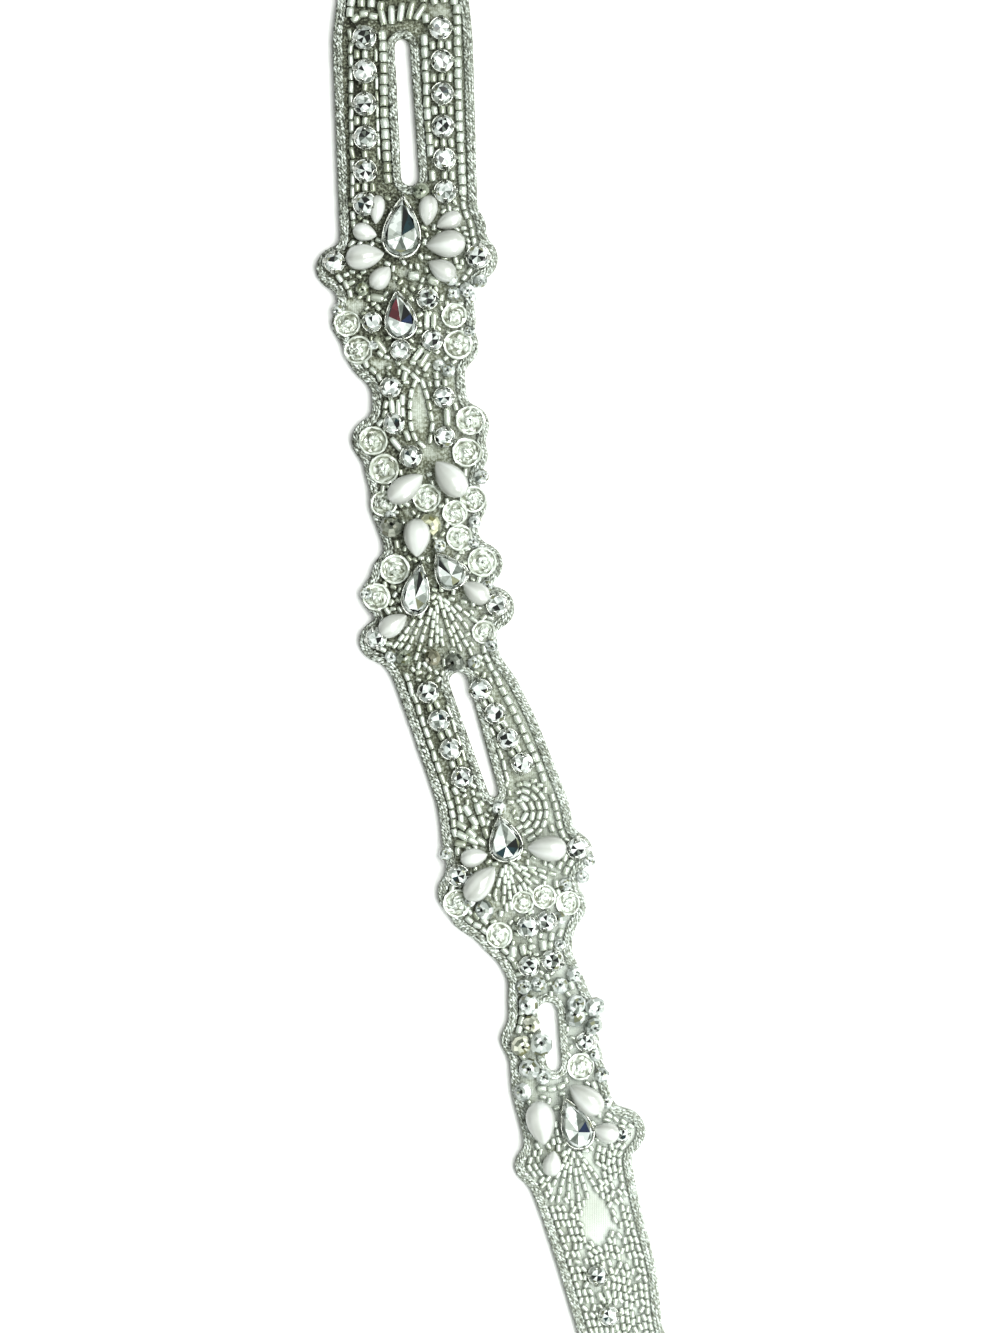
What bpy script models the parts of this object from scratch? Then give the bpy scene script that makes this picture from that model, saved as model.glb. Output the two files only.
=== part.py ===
"""Bridal sash: an openwork beaded band on a cloth backing, with a satin ribbon tie at each end.

The band lies flat with its beads up. Its long axis runs along Y, its underside rests on Z = 0 and
the middle of its box is the origin. The tables are in millimetres, in the plan of the laid sash:
x to the right, y up along the band, with (0, 0) in the middle of the stretch with the three slots.
"""

import math
from collections import namedtuple

import bmesh
import bpy
import numpy as np
from mathutils import Vector
from mathutils.geometry import delaunay_2d_cdt

MM = 0.001

CLOTH_WALL = 1.2
SEAM_GAP = 0.3
BEAD_GAP = 0.12
OUTLINE_STEP = 3.0
SLOT_STEP = 2.6

CORD_HALF_WIDTH = 0.75
CORD_HALF_HEIGHT = 0.65
CORD_INSET = 0.8
CORD_SIDES = 5

STONE_HEIGHT = 2.0
STONE_TABLE = 0.66
SEQUIN_HEIGHT = 1.0
SEQUIN_TABLE = 0.78
BEAD_SIDES = 8
LEAST_BEAD_RADIUS = 1.0
ROW_HEIGHT = 0.9
ROW_HALF_WIDTH = 0.6

CRYSTAL_SIDES = 14
PEARL_SIDES = 8
PEARL_RINGS = 6
DROP_TAPER = 1.15

RIBBON_WIDTH = 19.0
RIBBON_WALL = 1.0
RIBBON_RUNS = 11
RUN_LENGTH = 62.0
LAYER_PITCH = 0.85
LAYER_INSET = 0.35
RIBBON_START = -1.0
BAND_TO_FOLDS = 5.5
CORNER_RADIUS = 0.9

# The band climbs over the sewn end of each ribbon by the ribbon's wall and the gap.
LIFT = RIBBON_WALL + SEAM_GAP
LIFT_TOP = (146.0, 152.4)
LIFT_BOTTOM = (-144.0, -150.4)

Section = namedtuple("Section", "y left right")
Lobe = namedtuple("Lobe", "side x y radius")
End = namedtuple("End", "name x y radius heading")
Slot = namedtuple("Slot", "name x_high y_high r_high x_low y_low r_low")
Bead = namedtuple("Bead", "kind x y diameter")
Row = namedtuple("Row", "x_start y_start x_end y_end")
Fan = namedtuple("Fan", "x y near far first last count")
Drop = namedtuple("Drop", "x y length width point")

# The plain edges of the band, without the scallops.
SECTIONS = [
    Section(151.0, -31.0, -8.5),
    Section(142.0, -31.8, -7.4),
    Section(133.3, -32.6, -6.2),
    Section(125.3, -33.6, -5.4),
    Section(95.3, -32.4, -4.6),
    Section(85.3, -32.0, -4.4),
    Section(73.3, -32.6, -5.2),
    Section(65.3, -31.6, -5.2),
    Section(58.9, -29.4, -7.2),
    Section(55.7, -25.6, -6.8),
    Section(49.3, -25.6, -6.0),
    Section(37.3, -26.4, -4.4),
    Section(28.3, -24.8, -4.8),
    Section(22.9, -22.8, -3.2),
    Section(13.3, -24.4, -1.6),
    Section(2.3, -25.0, -0.2),
    Section(-1.9, -21.6, 3.0),
    Section(-10.7, -18.4, 7.4),
    Section(-27.5, -12.6, 14.0),
    Section(-38.7, -10.8, 15.6),
    Section(-51.7, -9.6, 15.2),
    Section(-56.7, -2.0, 14.2),
    Section(-62.7, 1.8, 17.0),
    Section(-66.7, 1.6, 18.4),
    Section(-84.7, 2.2, 21.8),
    Section(-94.7, 4.8, 25.6),
    Section(-104.7, 6.2, 27.4),
    Section(-109.7, 8.2, 28.6),
    Section(-120.5, 11.7, 31.4),
    Section(-130.7, 14.8, 32.4),
    Section(-143.0, 18.4, 35.8),
    Section(-151.0, 20.6, 39.0),
]

# The scallops, each a part of a circle that stands out from a plain edge.
LOBES = [
    Lobe("left", -30.0, 146.5, 4.6),
    Lobe("left", -32.4, 79.7, 4.5),
    Lobe("left", -29.6, 68.7, 4.2),
    Lobe("left", -27.2, 63.3, 4.0),
    Lobe("left", -25.0, 45.3, 4.8),
    Lobe("left", -22.8, 39.5, 4.4),
    Lobe("left", -22.0, 32.3, 4.2),
    Lobe("left", -21.6, 18.9, 4.1),
    Lobe("left", -23.8, 14.3, 4.1),
    Lobe("left", -24.0, 5.1, 4.3),
    Lobe("left", -7.4, -34.3, 4.4),
    Lobe("left", -7.6, -45.3, 5.0),
    Lobe("left", 0.2, -54.3, 4.2),
    Lobe("left", 4.0, -74.7, 4.0),
    Lobe("left", 6.8, -99.9, 4.0),
    Lobe("left", 22.6, -148.0, 4.4),
    Lobe("right", -8.8, 146.5, 4.6),
    Lobe("right", -7.0, 87.7, 4.4),
    Lobe("right", -4.8, 81.7, 4.5),
    Lobe("right", -8.6, 69.3, 3.9),
    Lobe("right", -8.2, 64.1, 4.1),
    Lobe("right", -6.2, 48.3, 4.2),
    Lobe("right", -6.4, 42.3, 4.1),
    Lobe("right", -6.6, 32.5, 4.1),
    Lobe("right", -3.6, 20.5, 4.3),
    Lobe("right", -1.2, 11.7, 4.3),
    Lobe("right", 14.6, -37.1, 4.1),
    Lobe("right", 13.4, -47.9, 4.1),
    Lobe("right", 16.4, -70.3, 4.1),
    Lobe("right", 24.4, -93.1, 4.9),
    Lobe("right", 36.0, -145.0, 4.2),
]

# The rounded ends, with the heading in degrees that the ribbon leaves in.
ENDS = [
    End("top", -19.6, 154.5, 11.5, 90.0),
    End("bottom", 30.4, -155.0, 10.6, -73.4),
]

SLOTS = [
    Slot("upper", -19.6, 124.2, 1.5, -18.0, 98.0, 1.8),
    Slot("middle", -8.3, -3.0, 1.9, -1.3, -25.2, 1.0),
    Slot("lower", 9.5, -69.2, 2.0, 10.8, -79.6, 1.4),
]

BEADS = [
    Bead("stone", -33.0, 80.3, 4.0),
    Bead("stone", -4.5, 81.9, 5.0),
    Bead("stone", -14.6, 73.5, 4.4),
    Bead("stone", -19.8, 63.0, 4.0),
    Bead("stone", -13.6, 65.1, 4.4),
    Bead("stone", -25.6, 68.9, 4.0),
    Bead("sequin", -30.2, 68.5, 5.2),
    Bead("sequin", -28.0, 63.3, 5.2),
    Bead("sequin", -9.2, 70.3, 4.4),
    Bead("sequin", -8.4, 64.3, 5.4),
    Bead("stone", -21.8, 55.7, 4.0),
    Bead("stone", -21.0, 48.9, 4.0),
    Bead("stone", -11.4, 53.9, 4.2),
    Bead("stone", -10.8, 45.9, 4.2),
    Bead("stone", -17.8, 41.9, 4.8),
    Bead("sequin", -25.2, 45.1, 5.8),
    Bead("sequin", -23.2, 39.5, 6.0),
    Bead("sequin", -14.6, 33.7, 5.6),
    Bead("sequin", -23.2, 32.3, 5.2),
    Bead("sequin", -6.0, 49.1, 5.6),
    Bead("sequin", -6.6, 42.7, 5.6),
    Bead("sequin", -5.2, 33.5, 4.4),
    Bead("sequin", -7.4, 25.9, 5.0),
    Bead("stone", -9.6, 30.7, 5.0),
    Bead("stone", -13.8, 28.7, 4.0),
    Bead("stone", -21.6, 26.7, 4.6),
    Bead("sequin", -21.0, 19.5, 5.6),
    Bead("stone", -24.6, 13.9, 5.2),
    Bead("stone", -0.8, 12.3, 4.8),
    Bead("sequin", -3.6, 20.7, 6.0),
    Bead("stone", -24.4, 5.7, 4.0),
    Bead("stone", -3.4, 7.7, 4.4),
    Bead("stone", -8.4, 0.9, 4.0),
    Bead("stone", 15.2, -36.3, 4.8),
    Bead("stone", -8.0, -41.7, 4.8),
    Bead("sequin", -2.2, -48.5, 4.4),
    Bead("sequin", 0.2, -53.9, 5.2),
    Bead("sequin", 13.2, -46.9, 4.8),
    Bead("stone", 4.6, -51.9, 4.8),
    Bead("stone", 9.4, -50.5, 4.4),
    Bead("stone", 5.8, -59.9, 4.4),
    Bead("stone", 11.0, -58.7, 4.8),
    Bead("stone", 15.4, -70.7, 3.4),
    Bead("stone", 17.0, -75.1, 4.0),
    Bead("stone", 16.4, -80.3, 4.8),
    Bead("stone", 6.2, -80.3, 3.4),
    Bead("stone", 24.4, -93.5, 3.4),
]

# Straight runs of equal stones: first and last centre, diameter, count.
StoneRun = namedtuple("StoneRun", "x_first y_first x_last y_last diameter count")
STONE_RUNS = [
    StoneRun(-27.0, 125.7, -27.0, 92.5, 4.8, 6),
    StoneRun(-12.0, 127.5, -11.0, 94.9, 4.4, 6),
    StoneRun(-14.4, -5.1, -7.8, -22.1, 4.2, 4),
    StoneRun(-3.4, -4.5, 4.6, -19.3, 4.2, 4),
    StoneRun(19.6, -121.5, 24.0, -137.9, 4.0, 3),
    StoneRun(-19.6, 146.0, -19.6, 158.0, 4.6, 2),
    StoneRun(29.0, -149.4, 31.6, -158.6, 4.4, 2),
]

# Rows of small beads, raised as one rib each.
ROWS = [
    Row(-30.4, 126.4, -30.0, 94.0),
    Row(-23.4, 126.4, -22.9, 95.6),
    Row(-14.9, 126.0, -13.6, 95.6),
    Row(-8.2, 126.4, -7.9, 93.0),
    Row(-17.3, -6.2, -10.8, -25.2),
    Row(-11.9, -6.4, -5.6, -24.6),
    Row(1.4, -6.0, 8.2, -24.0),
    Row(3.6, -8.6, 9.6, -22.4),
    Row(11.3, -109.6, 18.6, -134.0),
    Row(13.4, -107.5, 16.6, -118.0),
    Row(23.4, -108.0, 28.4, -134.0),
    Row(25.6, -109.0, 29.8, -128.0),
]

# Fans of short rows, by the first and last heading in degrees.
FANS = [
    Fan(-19.6, 128.0, 1.6, 6.6, 40.0, 140.0, 5),
    Fan(-12.0, 12.4, 3.0, 10.6, -125.0, -55.0, 6),
    Fan(-3.4, -36.0, 2.4, 7.6, 105.0, 175.0, 4),
    Fan(4.4, -33.2, 2.2, 7.0, 20.0, 85.0, 4),
    Fan(2.0, -41.4, 2.2, 8.2, -88.0, -10.0, 6),
    Fan(14.6, -97.6, 2.0, 9.5, -120.0, -50.0, 6),
]

# Cut pear crystals in claw settings. The point is the heading of the pointed end, in degrees.
CRYSTALS = [
    Drop(-19.6, 87.9, 12.4, 7.6, 88.0),
    Drop(-20.0, 70.3, 9.8, 6.4, 98.0),
    Drop(-16.6, 15.5, 10.6, 5.6, 81.0),
    Drop(-10.5, 19.3, 8.2, 6.0, 124.0),
    Drop(0.9, -34.3, 9.4, 6.6, 102.0),
    Drop(14.9, -91.1, 10.8, 6.2, 112.0),
]

# Drop pearls, lying on their side.
PEARLS = [
    Drop(-24.6, 91.3, 5.6, 2.8, -95.0),
    Drop(-14.4, 91.1, 6.0, 3.4, -95.0),
    Drop(-27.0, 86.7, 4.8, 3.2, -15.0),
    Drop(-27.0, 81.9, 7.6, 4.6, 8.0),
    Drop(-23.8, 77.7, 5.2, 3.6, 50.0),
    Drop(-10.2, 89.0, 5.4, 3.2, 205.0),
    Drop(-10.8, 84.3, 7.6, 4.8, 185.0),
    Drop(-11.6, 79.3, 6.0, 3.8, 150.0),
    Drop(-18.8, 35.7, 8.2, 4.4, 37.0),
    Drop(-10.0, 37.5, 8.4, 5.0, 130.0),
    Drop(-16.6, 25.7, 7.4, 4.8, -90.0),
    Drop(-4.8, 14.9, 6.0, 3.8, 145.0),
    Drop(-21.4, 8.3, 6.4, 3.8, 35.0),
    Drop(9.4, -36.3, 7.6, 4.6, 178.0),
    Drop(-5.2, -38.1, 5.4, 3.4, 12.0),
    Drop(-3.9, -43.3, 8.4, 4.6, 49.0),
    Drop(8.2, -91.1, 8.6, 5.2, -82.0),
    Drop(17.2, -86.3, 8.0, 4.6, 140.0),
    Drop(21.2, -93.1, 5.2, 3.8, 165.0),
    Drop(10.4, -99.3, 5.0, 3.4, 82.0),
]

Finish = namedtuple("Finish", "colour roughness metallic")
FINISHES = {
    "backing_cloth": Finish((0.42, 0.43, 0.37), 0.85, 0.0),
    "silver_cord": Finish((0.72, 0.74, 0.73), 0.35, 1.0),
    "crystal": Finish((0.80, 0.84, 0.85), 0.08, 0.3),
    "pearl": Finish((0.86, 0.84, 0.79), 0.25, 0.0),
    "satin": Finish((0.84, 0.84, 0.80), 0.40, 0.0),
}


def clear_scene():
    for old in list(bpy.data.objects):
        bpy.data.objects.remove(old)


def material(name):
    """The Principled finish of this name, made once."""
    if name in bpy.data.materials:
        return bpy.data.materials[name]
    finish = FINISHES[name]
    made = bpy.data.materials.new(name)
    made.use_nodes = True
    shader = made.node_tree.nodes["Principled BSDF"]
    shader.inputs["Base Color"].default_value = (*finish.colour, 1.0)
    shader.inputs["Roughness"].default_value = finish.roughness
    shader.inputs["Metallic"].default_value = finish.metallic
    return made


def solid(name, finish, points, faces, centre):
    """One closed body from points in millimetres, moved so that the sash's box is over the origin."""
    mesh = bpy.data.meshes.new(name)
    moved = (np.asarray(points) - np.append(centre, 0.0)) * MM
    mesh.from_pydata(moved.tolist(), [], faces)
    shape = bmesh.new()
    shape.from_mesh(mesh)
    bmesh.ops.recalc_face_normals(shape, faces=shape.faces)
    shape.to_mesh(mesh)
    shape.free()
    mesh.materials.append(material(finish))
    mesh.set_sharp_from_angle(angle=math.radians(40.0))
    made = bpy.data.objects.new(name, mesh)
    bpy.context.scene.collection.objects.link(made)
    return made


def lift(y):
    """How far the band is raised at y: nothing in the middle, LIFT over the ribbons' sewn ends."""
    over_top = np.interp(y, LIFT_TOP, (0.0, LIFT))
    over_bottom = np.interp(-np.asarray(y), (-LIFT_BOTTOM[0], -LIFT_BOTTOM[1]), (0.0, LIFT))
    return over_top + over_bottom


def resampled(points, step):
    """The closed line through the points, with equal steps of about this length."""
    closed = np.vstack([points, points[:1]])
    along = np.append(0.0, np.cumsum(np.linalg.norm(np.diff(closed, axis=0), axis=1)))
    count = int(round(along[-1] / step))
    wanted = np.linspace(0.0, along[-1], count, endpoint=False)
    return np.column_stack([np.interp(wanted, along, closed[:, i]) for i in range(2)])


def softened(points):
    """Each point moved a quarter of the way to each neighbour, as a cord rounds a sharp notch."""
    return 0.25 * np.roll(points, 1, axis=0) + 0.5 * points + 0.25 * np.roll(points, -1, axis=0)


def outward(points):
    """Mitred outward offsets of a closed line that runs anticlockwise."""
    edges = np.roll(points, -1, axis=0) - points
    normals = np.column_stack([edges[:, 1], -edges[:, 0]])
    normals /= np.linalg.norm(normals, axis=1)[:, None]
    joined = normals + np.roll(normals, 1, axis=0)
    joined /= np.linalg.norm(joined, axis=1)[:, None]
    bend = np.sum(joined * normals, axis=1)
    return joined / np.maximum(bend, 0.75)[:, None]


def band_outline():
    """The scalloped outline: at each y, the outermost of the plain edge, the lobes and the ends."""
    sections = np.array(sorted(SECTIONS))
    low = min(end.y - end.radius for end in ENDS)
    high = max(end.y + end.radius for end in ENDS)
    y = np.linspace(low, high, 4001)
    left = np.interp(y, sections[:, 0], sections[:, 1], left=np.inf, right=np.inf)
    right = np.interp(y, sections[:, 0], sections[:, 2], left=-np.inf, right=-np.inf)
    for end in ENDS:
        reach = np.sqrt(np.clip(end.radius**2 - (y - end.y) ** 2, 0.0, None))
        near = np.abs(y - end.y) <= end.radius
        left = np.where(near, np.minimum(left, end.x - reach), left)
        right = np.where(near, np.maximum(right, end.x + reach), right)
    for lobe in LOBES:
        reach = np.sqrt(np.clip(lobe.radius**2 - (y - lobe.y) ** 2, 0.0, None))
        near = np.abs(y - lobe.y) <= lobe.radius
        if lobe.side == "left":
            left = np.where(near, np.minimum(left, lobe.x - reach), left)
        else:
            right = np.where(near, np.maximum(right, lobe.x + reach), right)
    going_up = np.column_stack([right, y])
    going_down = np.column_stack([left, y])[::-1]
    return softened(resampled(np.vstack([going_up, going_down]), OUTLINE_STEP))


def slot_outline(slot):
    """A slot with round ends of two sizes: half a circle at each end, joined by straight sides."""
    high = np.array([slot.x_high, slot.y_high])
    low = np.array([slot.x_low, slot.y_low])
    axis = math.atan2(high[1] - low[1], high[0] - low[0])
    turn = np.linspace(-math.pi / 2, math.pi / 2, 24)
    upper = high + slot.r_high * np.column_stack([np.cos(axis + turn), np.sin(axis + turn)])
    lower = low - slot.r_low * np.column_stack([np.cos(axis + turn), np.sin(axis + turn)])
    return resampled(np.vstack([upper, lower]), SLOT_STEP)


def distance_to_line(point, line):
    """The shortest way from a point to a closed line."""
    start = line
    edge = np.roll(line, -1, axis=0) - line
    along = np.sum((point - start) * edge, axis=1) / np.sum(edge**2, axis=1)
    nearest = start + np.clip(along, 0.0, 1.0)[:, None] * edge
    return np.linalg.norm(point - nearest, axis=1).min()


def heading(degrees):
    angle = math.radians(degrees)
    return np.array([math.cos(angle), math.sin(angle)])


def drop_profile(drop, angles):
    """Along and across a drop: half the length times cos a, and a width that falls to 0 at its point.

    The width is half the greatest width times sin a times sin(a/2) to a power, over its greatest value.
    """
    fine = np.linspace(0.0, math.pi, 400)
    most = np.max(np.sin(fine) * np.sin(fine / 2) ** DROP_TAPER)
    along = drop.length / 2 * np.cos(angles)
    across = drop.width / 2 * np.sin(angles) * np.abs(np.sin(angles / 2)) ** DROP_TAPER / most
    return along, across


def distance_to_drop(point, drop):
    """How far a point lies outside a drop's outline in the plan."""
    along, across = drop_profile(drop, np.linspace(0.15, math.pi - 0.05, 16))
    across = np.minimum(across, drop.length / 2 + along)
    centres = np.array([drop.x, drop.y]) + along[:, None] * heading(drop.point)
    return (np.linalg.norm(point - centres, axis=1) - across).min()


def room_for(bead, outline, slots):
    """The radius that the bead may have beside the cords and the drops."""
    point = np.array([bead.x, bead.y])
    beside_cord = CORD_INSET + CORD_HALF_WIDTH + BEAD_GAP
    edges = min(distance_to_line(point, line) for line in [outline, *slots]) - beside_cord
    drops = min(distance_to_drop(point, drop) for drop in CRYSTALS + PEARLS) - BEAD_GAP
    return min(bead.diameter / 2, edges, drops)


def all_beads():
    """The single beads and those of the runs."""
    beads = list(BEADS)
    for run in STONE_RUNS:
        for part in np.linspace(0.0, 1.0, run.count):
            x = run.x_first + part * (run.x_last - run.x_first)
            y = run.y_first + part * (run.y_last - run.y_first)
            beads.append(Bead("stone", x, y, run.diameter))
    return beads


def all_rows():
    """The straight rows and those of the fans."""
    rows = list(ROWS)
    for fan in FANS:
        for degrees in np.linspace(fan.first, fan.last, fan.count):
            near = np.array([fan.x, fan.y]) + fan.near * heading(degrees)
            far = np.array([fan.x, fan.y]) + fan.far * heading(degrees)
            rows.append(Row(*near, *far))
    return rows


def has_room(row, outline, slots):
    """Whether a row lies clear of the cords and the drops along its whole length."""
    ends = np.array([[row.x_start, row.y_start], [row.x_end, row.y_end]])
    along = np.linspace(0.0, 1.0, 9)[:, None]
    beside_cord = CORD_INSET + CORD_HALF_WIDTH + BEAD_GAP + ROW_HALF_WIDTH
    for point in ends[0] + along * (ends[1] - ends[0]):
        drops = min(distance_to_drop(point, drop) for drop in CRYSTALS + PEARLS)
        edges = min(distance_to_line(point, line) for line in [outline, *slots])
        if drops < ROW_HALF_WIDTH + BEAD_GAP or edges < beside_cord:
            return False
    return True


class Raised:
    """What stands up from the band's face: the lines where its slope changes, and its height."""

    def __init__(self):
        self.points = []
        self.edges = []
        self.heights = []

    def loop(self, points):
        first = len(self.points)
        self.points += [tuple(point) for point in points]
        self.edges += [(first + i, first + (i + 1) % len(points)) for i in range(len(points))]

    def add_bead(self, kind, centre, radius):
        """A low cone with a flat top: a ring at its foot and one round its top."""
        table = STONE_TABLE if kind == "stone" else SEQUIN_TABLE
        height = STONE_HEIGHT if kind == "stone" else SEQUIN_HEIGHT
        turn = np.arange(BEAD_SIDES) * 2 * math.pi / BEAD_SIDES
        ring = np.column_stack([np.cos(turn), np.sin(turn)])
        self.loop(centre + radius * ring)
        self.loop(centre + radius * table * ring)

        def height_at(points):
            away = np.linalg.norm(points - centre, axis=1) / radius
            return height * np.clip((1.0 - away) / (1.0 - table), 0.0, 1.0)

        self.heights.append(height_at)

    def add_row(self, row):
        """A roof-shaped rib: four corners and a ridge."""
        start = np.array([row.x_start, row.y_start])
        end = np.array([row.x_end, row.y_end])
        length = np.linalg.norm(end - start)
        along = (end - start) / length
        side = np.array([-along[1], along[0]]) * ROW_HALF_WIDTH
        self.loop([start + side, start - side, end - side, end + side])
        first = len(self.points)
        ridge = (start + along * ROW_HALF_WIDTH, end - along * ROW_HALF_WIDTH)
        self.points += [tuple(point) for point in ridge]
        self.edges.append((first, first + 1))

        def height_at(points):
            from_start = (points - start) @ along
            across = np.abs((points - start) @ side) / ROW_HALF_WIDTH
            slope = np.minimum(ROW_HALF_WIDTH - across, np.minimum(from_start, length - from_start))
            return ROW_HEIGHT * np.clip(slope / ROW_HALF_WIDTH, 0.0, 1.0)

        self.heights.append(height_at)

    def height(self, points):
        return np.max([height_at(points) for height_at in self.heights], axis=0)


def inside(points, line):
    """Which points lie inside a closed line, by the crossings of a ray along x."""
    x, y = points[:, 0, None], points[:, 1, None]
    x1, y1 = line[:, 0], line[:, 1]
    x2, y2 = np.roll(x1, -1), np.roll(y1, -1)
    spans = (y1 > y) != (y2 > y)
    crossing = x1 + (y - y1) * (x2 - x1) / np.where(y1 == y2, 1.0, y2 - y1)
    return np.sum(spans & (x < crossing), axis=1) % 2 == 1


def triangulated(outline, slots, points, edges):
    """Triangles of the face between the outline and the slots, through the inner points and edges."""
    lines = [outline, *slots]
    border = np.vstack(lines)
    border_edges = []
    first = 0
    for line in lines:
        border_edges += [(first + i, first + (i + 1) % len(line)) for i in range(len(line))]
        first += len(line)
    every = np.vstack([border, points]) if len(points) else border
    joined = border_edges + [(a + first, b + first) for a, b in edges]
    found = delaunay_2d_cdt([Vector(point) for point in every], joined, [], 0, 1e-4, True)
    flat = np.array([tuple(point) for point in found[0]])
    faces = np.array(found[2])
    middles = flat[faces].mean(axis=1)
    kept = inside(middles, outline)
    for slot in slots:
        kept &= ~inside(middles, slot)
    place = {old: new for new, olds in enumerate(found[3]) for old in olds}
    return flat, faces[kept], [place[i] for i in range(first)], border_edges


def crossing_lines(outline):
    """Points of the lines across the band where it starts and ends its climb over the ribbons."""
    points = []
    edges = []
    for y in (*LIFT_TOP, *LIFT_BOTTOM):
        near = outline[np.abs(outline[:, 1] - y) < 2 * OUTLINE_STEP]
        x_low, x_high = near[:, 0].min() + 4.0, near[:, 0].max() - 4.0
        edges.append((len(points), len(points) + 1))
        points += [(x_low, y), (x_high, y)]
    return points, edges


def make_band(outline, slots, centre):
    """The backing cloth: a plain underside, cut-through slots, and a face raised at every bead."""
    raised = Raised()
    for bead in all_beads():
        radius = room_for(bead, outline, slots)
        if radius >= LEAST_BEAD_RADIUS:
            raised.add_bead(bead.kind, np.array([bead.x, bead.y]), radius)
    for row in all_rows():
        if has_room(row, outline, slots):
            raised.add_row(row)
    lift_points, lift_edges = crossing_lines(outline)
    shift = len(raised.points)
    top_points = np.array(raised.points + lift_points)
    top_edges = raised.edges + [(a + shift, b + shift) for a, b in lift_edges]
    flat, top_faces, top_border, border_edges = triangulated(outline, slots, top_points, top_edges)
    under, under_faces, under_border, _ = triangulated(outline, slots, np.array(lift_points), lift_edges)
    top = np.column_stack([flat, CLOTH_WALL + lift(flat[:, 1]) + raised.height(flat)])
    bottom = np.column_stack([under, lift(under[:, 1])])
    count = len(top)
    faces = top_faces.tolist() + (under_faces[:, ::-1] + count).tolist()
    for a, b in border_edges:
        faces.append([top_border[b], top_border[a], under_border[a] + count, under_border[b] + count])
    used = sorted({i for face in faces for i in face})
    index = {old: new for new, old in enumerate(used)}
    every = np.vstack([top, bottom])[used]
    return solid("band", "backing_cloth", every, [[index[i] for i in face] for face in faces], centre)


def make_cord(name, line, centre):
    """A closed cord on the cloth: an oval profile carried round the line."""
    across = outward(line)
    turn = np.arange(CORD_SIDES) * 2 * math.pi / CORD_SIDES + math.pi / 2
    middle = CLOTH_WALL + SEAM_GAP + CORD_HALF_HEIGHT + lift(line[:, 1])
    plan = line[:, None, :] + CORD_HALF_WIDTH * np.cos(turn)[None, :, None] * across[:, None, :]
    rise = middle[:, None] + CORD_HALF_HEIGHT * np.sin(turn)[None, :]
    points = np.concatenate([plan, rise[:, :, None]], axis=2).reshape(-1, 3)
    count = len(line)
    faces = []
    for i in range(count):
        for j in range(CORD_SIDES):
            here, there = i * CORD_SIDES, (i + 1) % count * CORD_SIDES
            k = (j + 1) % CORD_SIDES
            faces.append([here + j, here + k, there + k, there + j])
    return solid(name, "silver_cord", points, faces, centre)


def ring_faces(rings, size):
    """Quads between rings of the same size, with a flat face on the first and the last."""
    faces = [list(range(size)), [(rings - 1) * size + i for i in range(size)][::-1]]
    for ring in range(rings - 1):
        for i in range(size):
            j = (i + 1) % size
            faces.append([ring * size + i, ring * size + j, (ring + 1) * size + j, (ring + 1) * size + i])
    return faces


def make_crystal(name, drop, centre):
    """A pear-cut stone in its setting: rings of one teardrop outline at four heights."""
    levels = [(0.84, 0.0), (1.0, 1.5), (0.95, 2.3), (0.5, 3.8)]
    angles = np.linspace(0.0, 2 * math.pi, CRYSTAL_SIDES, endpoint=False)
    along, across = drop_profile(drop, angles)
    ahead = heading(drop.point)
    side = np.array([-ahead[1], ahead[0]])
    outline = along[:, None] * ahead + across[:, None] * side
    foot = CLOTH_WALL + SEAM_GAP + float(lift(drop.y))
    rings = []
    for scale, height in levels:
        plan = np.array([drop.x, drop.y]) + scale * outline
        rings.append(np.column_stack([plan, np.full(CRYSTAL_SIDES, foot + height)]))
    faces = ring_faces(len(levels), CRYSTAL_SIDES)
    return solid(name, "crystal", np.vstack(rings), faces, centre)


def make_pearl(name, drop, centre):
    """A teardrop turned round its own axis, lying on the cloth."""
    angles = np.linspace(0.0, math.pi, PEARL_RINGS + 2)
    along, across = drop_profile(drop, angles)
    ahead = heading(drop.point)
    side = np.array([-ahead[1], ahead[0]])
    turn = (np.arange(PEARL_SIDES) + 0.5) * 2 * math.pi / PEARL_SIDES
    high = CLOTH_WALL + SEAM_GAP + drop.width / 2 + float(lift(drop.y))
    origin = np.array([drop.x, drop.y])
    points = []
    for i in range(1, PEARL_RINGS + 1):
        plan = origin + along[i] * ahead + across[i] * np.cos(turn)[:, None] * side
        points.append(np.column_stack([plan, high + across[i] * np.sin(turn)]))
    faces = ring_faces(PEARL_RINGS, PEARL_SIDES)[2:]
    count = PEARL_RINGS * PEARL_SIDES
    tip = np.append(origin + along[0] * ahead, high)
    back = np.append(origin + along[-1] * ahead, high)
    last = count - PEARL_SIDES
    for i in range(PEARL_SIDES):
        j = (i + 1) % PEARL_SIDES
        faces.append([j, i, count])
        faces.append([last + i, last + j, count + 1])
    return solid(name, "pearl", np.vstack([*points, tip, back]), faces, centre)


def rounded_box(u_low, u_high, v_low, v_high):
    """The outline of a rectangle with round corners, three points to a corner."""
    radius = CORNER_RADIUS
    corners = [
        (u_high - radius, v_high - radius, 0.0),
        (u_low + radius, v_high - radius, 90.0),
        (u_low + radius, v_low + radius, 180.0),
        (u_high - radius, v_low + radius, 270.0),
    ]
    points = []
    for u, v, start in corners:
        points += [np.array([u, v]) + radius * heading(start + step) for step in (0.0, 45.0, 90.0)]
    return np.array(points)


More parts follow.
